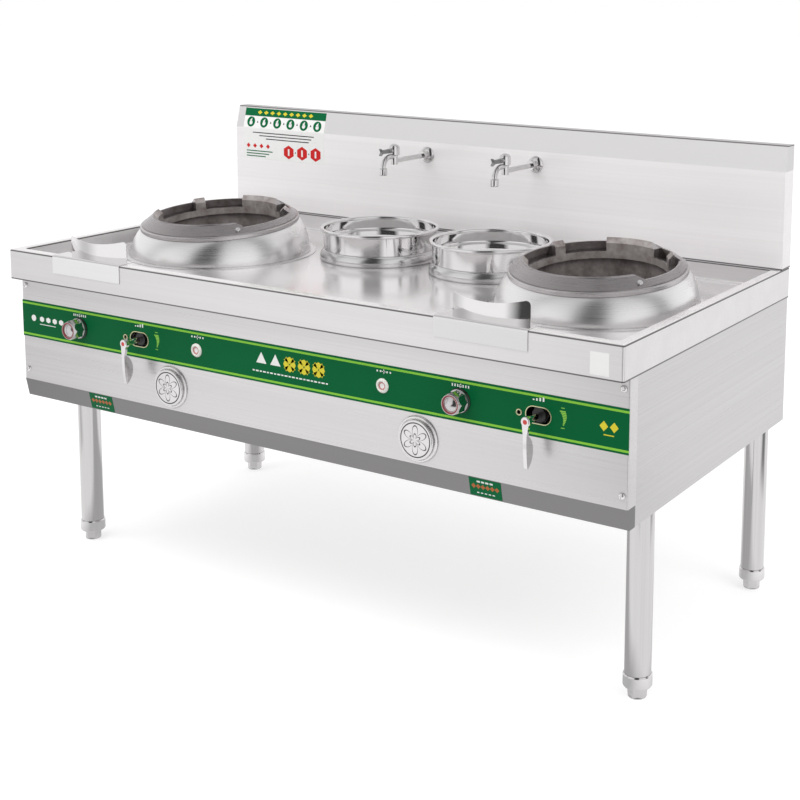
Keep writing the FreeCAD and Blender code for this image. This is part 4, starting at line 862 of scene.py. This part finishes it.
white = bmesh.new()
lime = bmesh.new()
yellow = bmesh.new()
for side in SIDES:
    knob_x = middle("gas_knob_" + side).x + DROP_SHIFT
    slot_x = middle("air_lever_" + side).x
    button_x = middle("igniter_button_" + side).x + SPARK_SHIFT
    z = control_z + MARK_RISE
    stamp(white, 24, DROP_WIDE, DROP_WIDE, knob_x, z - 1 * MM)
    stamp(white, 3, DROP_WIDE, DROP_TIP, knob_x, z + 1.5 * MM, math.pi / 2)
    for step in (-3, -2, -1, 1, 2, 3):
        bar(white, 3 * MM, 6 * MM, knob_x + step * SHORT_TICK_PITCH, z)
    for step in range(4):
        bar(white, 4 * MM, (3 + 2 * step) * MM, slot_x + (step - 1.5) * TICK_PITCH, z + step * MM)
    stamp(white, 4, SPARK_THIN, SPARK_LONG, button_x, z)
    stamp(white, 4, SPARK_LONG, SPARK_THIN, button_x, z)
    for step in (-2, -1, 1, 2):
        bar(white, DOT, DOT, button_x + step * DOT_PITCH, z)
print("marks over", 3 * len(SIDES), "controls")


# %% Lime scales beside the slots
SCALE_OFFSET = 62 * MM      # from the slot's middle
SCALE_RISE = 4 * MM
SCALE_STEPS = 9
SCALE_PITCH = 3.6 * MM
SCALE_NARROW = 3.0 * MM     # the lowest bar
SCALE_WIDER = 11.0 * MM     # what the highest bar has more
SCALE_BAR = 2.6 * MM
SCALE_BOW = 6.0 * MM        # how far the scale bends outwards
END_WIDE, END_THIN = 9 * MM, 1.6 * MM
END_SHIFT = 3 * MM
for side in SIDES:
    scale_x = middle("air_lever_" + side).x + SCALE_OFFSET
    foot = control_z + SCALE_RISE - (SCALE_STEPS - 1) / 2 * SCALE_PITCH
    for step in range(SCALE_STEPS):
        share = step / (SCALE_STEPS - 1)
        width = SCALE_NARROW + SCALE_WIDER * share
        bow = SCALE_BOW * math.sin(share * math.pi * 0.8)
        bar(lime, width, SCALE_BAR, scale_x + bow - width / 2, foot + step * SCALE_PITCH)
    for step in (-2, SCALE_STEPS + 1):
        bar(lime, END_WIDE, END_THIN, scale_x - END_SHIFT, foot + step * SCALE_PITCH)
print("scales of", SCALE_STEPS, "bars")


# %% Ornaments in the middle and at the ends
ORNAMENT_X = 12 * MM
ORNAMENT_Z = control_z + 8 * MM
ORNAMENT_PITCH = 43 * MM
ORNAMENT_SIZE = 36 * MM
LOZENGE_THIN = 17 * MM
LOZENGE_OFF = 10 * MM       # from a rosette's middle
BROKEN_LINE_DROP = 29 * MM
DASH_PITCH = 11 * MM
for step in (-2, -1):
    stamp(white, 3, ORNAMENT_SIZE, ORNAMENT_SIZE, ORNAMENT_X + step * ORNAMENT_PITCH, ORNAMENT_Z)
for step in (0, 1, 2):
    x = ORNAMENT_X + step * ORNAMENT_PITCH
    for end in (-LOZENGE_OFF, LOZENGE_OFF):
        stamp(yellow, 4, ORNAMENT_SIZE, LOZENGE_THIN, x, ORNAMENT_Z + end)
        stamp(yellow, 4, LOZENGE_THIN, ORNAMENT_SIZE, x + end, ORNAMENT_Z)
for step in range(-10, 11):
    bar(white, (6 + 3 * (step % 2)) * MM, 3.2 * MM, ORNAMENT_X + step * DASH_PITCH,
        ORNAMENT_Z - BROKEN_LINE_DROP)

END_MARK_Z = control_z + 4 * MM
LEFT_MARK_X = -856 * MM
HEXAGON_FIRST, HEXAGON_PITCH = 31 * MM, 24 * MM
stamp(white, 28, 17 * MM, 17 * MM, LEFT_MARK_X, END_MARK_Z)
for step in range(4):
    stamp(white, 6, 18 * MM, 15 * MM, LEFT_MARK_X + HEXAGON_FIRST + step * HEXAGON_PITCH,
          END_MARK_Z)
bar(white, 60 * MM, 1.8 * MM, LEFT_MARK_X + 52 * MM, control_z - 10 * MM)
RIGHT_MARK_X = 852 * MM
for end in (-12 * MM, 12 * MM):
    stamp(yellow, 4, 20 * MM, 22 * MM, RIGHT_MARK_X + end, END_MARK_Z)
bar(yellow, 24 * MM, 2.2 * MM, RIGHT_MARK_X, control_z - 14 * MM)

finish_print("band_marks_white", white, print_white, band_face)
finish_print("band_marks_lime", lime, print_lime, band_face)
finish_print("band_marks_yellow", yellow, print_yellow, band_face)


# %% [markdown]
# ## The card on the backsplash
# A plastic card is stuck on the upper left corner of the backsplash and follows its fold.
# It shows a plain guide of its kind: a green header with yellow lozenges, a row of six green
# discs with pale drops and dark triangles between them, ruled lines, and at the foot three
# red hexagons beside lozenges and green lines. A grid gives the card enough points to bend.

# %% Build the card
CARD_LEFT, CARD_RIGHT = -872 * MM, -556 * MM
CARD_LOW = 998 * MM
CARD_HIGH = splash_high.z - 6 * MM
CARD_FILM = 0.4 * MM


def splash_face(z):
    lean = FOLD_LEAN * max(0.0, z - fold_z) / FOLD_DROP
    return splash_low.y + lean


def card_face(z):
    return splash_face(z) - CARD_FILM


def card_sheet():
    made = bmesh.new()
    bmesh.ops.create_grid(made, x_segments=2, y_segments=2, size=0.5)
    bmesh.ops.rotate(made, verts=made.verts[:], cent=(0, 0, 0),
                     matrix=Matrix.Rotation(math.pi / 2, 3, "X"))
    for vertex in made.verts:
        vertex.co.x = CARD_LEFT + (vertex.co.x + 0.5) * (CARD_RIGHT - CARD_LEFT)
        share = vertex.co.z
        vertex.co.z = fold_z if abs(share) < 0.1 else (CARD_HIGH if share > 0 else CARD_LOW)
    return made


card_white = coated("card_white", (0.88, 0.88, 0.87), 0.30, 0.015, grain=60.0)
card_green = coated("card_green", (0.002, 0.135, 0.045), 0.35, 0.05, shine=0.1)
card_red = coated("card_red", (0.62, 0.020, 0.020), 0.35, 0.05, shine=0.15)
card_ink = coated("card_ink", (0.04, 0.04, 0.04), 0.40, 0.10, shine=0.1)
finish_print("splash_card", card_sheet(), card_white, splash_face, CARD_FILM)


# %% Print the card
HEADER_HEIGHT = 23 * MM
HEADER_MARKS, HEADER_PITCH = 9, 25 * MM
DISCS = 6
DISC = 31 * MM
CARD_MARGIN = 28 * MM
FIRST_ROW = fold_z + 18 * MM
SECOND_ROW = CARD_LOW + 28 * MM
HEXAGON_WIDE, HEXAGON_HIGH = 44 * MM, 42 * MM
HEXAGON_STEP = 52 * MM
card_mid = (CARD_LEFT + CARD_RIGHT) / 2
card_wide = CARD_RIGHT - CARD_LEFT
header_z = CARD_HIGH - HEADER_HEIGHT / 2
disc_pitch = (card_wide - 2 * CARD_MARGIN) / (DISCS - 1)
green = bmesh.new()
red = bmesh.new()
ink = bmesh.new()
gold = bmesh.new()
pale = bmesh.new()
bar(green, card_wide, HEADER_HEIGHT, card_mid, header_z)
for step in range(HEADER_MARKS):
    shift = (step - (HEADER_MARKS - 1) / 2) * HEADER_PITCH
    stamp(gold, 4, 18 * MM, 12 * MM, card_mid + shift, header_z)
for step in range(DISCS):
    x = CARD_LEFT + CARD_MARGIN + step * disc_pitch
    stamp(green, 32, DISC, DISC, x, FIRST_ROW)
    stamp(pale, 20, 12 * MM, 12 * MM, x, FIRST_ROW - 3 * MM)
    stamp(pale, 3, 11 * MM, 17 * MM, x, FIRST_ROW + 4 * MM, math.pi / 2)
    if step:
        stamp(ink, 3, 7 * MM, 9 * MM, x - disc_pitch / 2, FIRST_ROW)
for step in range(3):
    bar(ink, (240 - 36 * step) * MM, 2.8 * MM, card_mid + 8 * step * MM,
        fold_z - (14 + 9 * step) * MM)
for step in range(3):
    x = CARD_RIGHT - 32 * MM - step * HEXAGON_STEP
    stamp(red, 6, HEXAGON_WIDE, HEXAGON_HIGH, x, SECOND_ROW)
    bar(pale, 6 * MM, 20 * MM, x, SECOND_ROW)
    if step:
        stamp(ink, 3, 6 * MM, 8 * MM, x + HEXAGON_STEP / 2, SECOND_ROW)
for step in range(4):
    stamp(red, 4, 15 * MM, 15 * MM, CARD_LEFT + (20 + 26 * step) * MM, SECOND_ROW + 12 * MM)
for step in range(3):
    bar(green, (104 - 14 * step) * MM, 3 * MM, CARD_LEFT + (64 - 7 * step) * MM,
        SECOND_ROW - (4 + 8 * step) * MM)
finish_print("card_marks_green", green, card_green, card_face)
finish_print("card_marks_red", red, card_red, card_face)
finish_print("card_marks_ink", ink, card_ink, card_face)
finish_print("card_marks_gold", gold, print_yellow, lambda z: card_face(z) - FILM)
finish_print("card_marks_pale", pale, card_white, lambda z: card_face(z) - FILM)


# %% [markdown]
# ## Label and plates
# A small white label sits at the right end of the apron. Two green plates hang on the grey
# strip under the fascia. The label is left bare, and the plates carry plain bars and
# lozenges.

# %% Label on the apron
LABEL_X, LABEL_Z = 845 * MM, 799 * MM
LABEL_WIDE, LABEL_HIGH = 44 * MM, 48 * MM


def apron_face(z):
    return counter_low.y


label = bmesh.new()
bar(label, LABEL_WIDE, LABEL_HIGH, LABEL_X, LABEL_Z)
finish_print("apron_label", label, card_white, apron_face)


# %% Plates on the strip
PLATE_WIDE = 82 * MM
PLATE_MARGIN = 2 * MM
PLATE_PLACES = (-619 * MM, 551 * MM)
STRIP_SLANT = 10 * MM       # how far the strip's foot lies behind its top
STRIP_PROUD = 0.2 * MM      # how far the plates' backs lie in front of the strip
UPPER_ROW, LOWER_ROW = 0.32, -0.30    # shares of a plate's height
strip_low, strip_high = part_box("lower_trim_strip")


def strip_face(z):
    share = (strip_high.z - z) / (strip_high.z - strip_low.z)
    return strip_low.y + STRIP_SLANT * max(0.0, min(1.0, share)) - STRIP_PROUD


plates = bmesh.new()
plate_lines = bmesh.new()
plate_lozenges = bmesh.new()
plate_mid = (strip_high.z + strip_low.z) / 2
plate_high = strip_high.z - strip_low.z - 2 * PLATE_MARGIN
for x in PLATE_PLACES:
    bar(plates, PLATE_WIDE, plate_high, x, plate_mid)
    for step in range(4):
        bar(plate_lines, 8 * MM, 4 * MM, x + (step - 1.5) * 11 * MM,
            plate_mid + plate_high * UPPER_ROW)
    for step in range(6):
        stamp(plate_lozenges, 4, 12 * MM, 12 * MM, x + (step - 2.5) * 12 * MM,
              plate_mid + 2 * MM)
    for step in range(5):
        bar(plate_lines, 6 * MM, 2.4 * MM, x + (step - 2) * 10 * MM,
            plate_mid + plate_high * LOWER_ROW)
plate_orange = coated("plate_orange", (0.45, 0.12, 0.02), 0.35, 0.05)
finish_print("strip_plates", plates, card_green, strip_face)
finish_print("strip_plate_lines", plate_lines, print_white, lambda z: strip_face(z) - FILM)
finish_print("strip_plate_lozenges", plate_lozenges, plate_orange,
             lambda z: strip_face(z) - FILM)


# %% [markdown]
# ## What metal mirrors
# Polished metal shows its shape only by what it mirrors, so for reflections the room is
# white with dark cloths, as a photographer hangs them: one beside the camera, and a narrow
# one at each side. Floor and walls use the same angles, so a cloth runs from the wall on to
# the floor.

# %% The room that metal mirrors
# Each cloth has its middle, half width and softness in degrees about the range.
DARK_CLOTHS = (dict(centre=-70.0, half=20.0, soft=6.0, pale=0.06),
               dict(centre=16.0, half=10.0, soft=5.0, pale=0.25),
               dict(centre=-150.0, half=9.0, soft=6.0, pale=0.65))


def hang_cloth(tree, angle, centre, half, soft, pale):
    """1 in most directions, and as little as pale where the cloth hangs."""
    away = apart(tree, angle, math.radians(centre))
    return spread(tree, away, pale, 1.0, math.radians(half - soft), math.radians(half + soft))


def room_tone(tree, where):
    """How bright the room is in a direction, and that direction's height."""
    x, y, z = axes(tree, where)
    angle = calculate(tree, "ARCTAN2", y, x)
    tone = 1.0
    for cloth in DARK_CLOTHS:
        tone = times(tree, tone, hang_cloth(tree, angle, **cloth))
    return tone, z


def ray_kinds(tree):
    """Whether a ray comes straight from the camera, and whether it mirrors."""
    path = add(tree, "ShaderNodeLightPath")
    seen = calculate(tree, "MAXIMUM", path.outputs["Is Camera Ray"],
                     path.outputs["Is Transmission Ray"])
    return seen, path.outputs["Is Glossy Ray"]


print(len(DARK_CLOTHS), "dark cloths")


# %% [markdown]
# ## The floor
# A plain pale floor carries the shadow. It glows a little for the camera, so that it runs
# into the white of the room. In mirrors it shows the cloths from some way off, and under
# the range it is painted darker, a painted shadow that only mirrors see.

# %% Floor
FLOOR_SIZE = 30.0
FLOOR_TONE = 0.55
FLOOR_GLOW = 0.58
CLOTH_STARTS = 1.6          # metres from the middle of the range
CLOTH_FADE = 0.5            # and full after so many more
SHADE_BENEATH = 0.52        # painted shadow: how pale the floor under the range looks in the legs
SHADE_EDGE = 0.10
WHITE = (1, 1, 1, 1)


def mirrored_floor(tree):
    """What mirrors see of the floor."""
    where = place_on(tree)
    tone = room_tone(tree, where)[0]
    reach = add(tree, "ShaderNodeVectorMath", {0: where}, operation="LENGTH").outputs["Value"]
    near = spread(tree, reach, 1.0, 0.0, CLOTH_STARTS, CLOTH_STARTS + CLOTH_FADE)
    tone = calculate(tree, "MAXIMUM", tone, near)
    x, y, z = axes(tree, where)
    # painted shadow: the floor under the range is darker in mirrors
    shadow_under_range = 1.0
    for place, half in ((x, counter_high.x), (y, counter_high.y)):
        inside = under(tree, calculate(tree, "ABSOLUTE", place), half, SHADE_EDGE)
        shadow_under_range = times(tree, shadow_under_range, inside)
    shade = calculate(tree, "MULTIPLY_ADD", shadow_under_range, SHADE_BENEATH - 1.0, 1.0)
    return times(tree, tone, shade)


def studio_floor():
    made = bmesh.new()
    bmesh.ops.create_grid(made, x_segments=1, y_segments=1, size=FLOOR_SIZE)
    mesh = bpy.data.meshes.new("floor")
    made.to_mesh(mesh)
    made.free()
    floor = bpy.data.objects.new("floor", mesh)
    bpy.context.scene.collection.objects.link(floor)
    material, tree, shader = new_material("pale_floor")
    cloud = noise(tree, place_on(tree), 0.8, 2.0)
    feed(tree, shader, blend_colours(tree, cloud, grey(FLOOR_TONE), grey(FLOOR_TONE + 0.02)),
         0.9, shine=0.0)
    seen, mirrors = ray_kinds(tree)
    glow = add(tree, "ShaderNodeEmission", {
        "Color": WHITE, "Strength": times(tree, seen, FLOOR_GLOW)})
    lit = add(tree, "ShaderNodeAddShader", {0: shader.outputs[0], 1: glow.outputs[0]})
    mirrored = add(tree, "ShaderNodeEmission", {"Color": WHITE, "Strength": mirrored_floor(tree)})
    both = add(tree, "ShaderNodeMixShader", {0: mirrors, 1: lit.outputs[0],
                                             2: mirrored.outputs[0]})
    tree.links.new(both.outputs[0], tree.nodes["Material Output"].inputs["Surface"])
    floor.data.materials.append(material)


studio_floor()
print("floor laid")


# %% [markdown]
# ## Walls and lamps
# The walls are white to the camera, a little dimmer to matt surfaces, and for mirrors they
# darken from the horizon up. The lamps light the matt pieces and make the shadow, and stay
# out of the reflections.

# %% Room and lamps
ROOM_LIGHT = 0.84           # what the walls give to matt surfaces
LAMP_AIM = Vector((0, 0, 0.6))


def studio_room():
    world = bpy.data.worlds.new("studio_room")
    bpy.context.scene.world = world
    world.use_nodes = True
    tree = world.node_tree
    tone, height = room_tone(tree, add(tree, "ShaderNodeTexCoord").outputs["Generated"])
    ceiling = times(tree, spread(tree, height, 1.0, 0.86, 0.06, 0.22),
                    spread(tree, height, 1.0, 0.65, 0.45, 0.95))
    seen, mirrors = ray_kinds(tree)
    strength = add(tree, "ShaderNodeMix", {
        "Factor": mirrors, 2: ROOM_LIGHT, 3: times(tree, tone, ceiling)},
        data_type="FLOAT")
    strength = calculate(tree, "MAXIMUM", strength.outputs[0], seen)
    back = tree.nodes["Background"]
    back.inputs["Color"].default_value = WHITE
    tree.links.new(strength, back.inputs["Strength"])


def soft_lamp(name, place, size, power):
    light = bpy.data.lights.new(name, "AREA")
    light.shape = "RECTANGLE"
    light.size, light.size_y = size
    light.energy = power
    lamp = bpy.data.objects.new(name, light)
    way = (LAMP_AIM - Vector(place)).normalized()
    lamp.rotation_euler = way.to_track_quat("-Z", "Y").to_euler()
    lamp.location = place
    lamp.visible_glossy = False
    bpy.context.scene.collection.objects.link(lamp)


studio_room()
soft_lamp("key_lamp", place=(-1.0, -2.3, 4.4), size=(4.2, 1.8), power=90.0)
soft_lamp("side_lamp", place=(3.4, -0.4, 3.6), size=(2.2, 2.2), power=45.0)
print("room lit by", len(bpy.data.lights), "lamps")
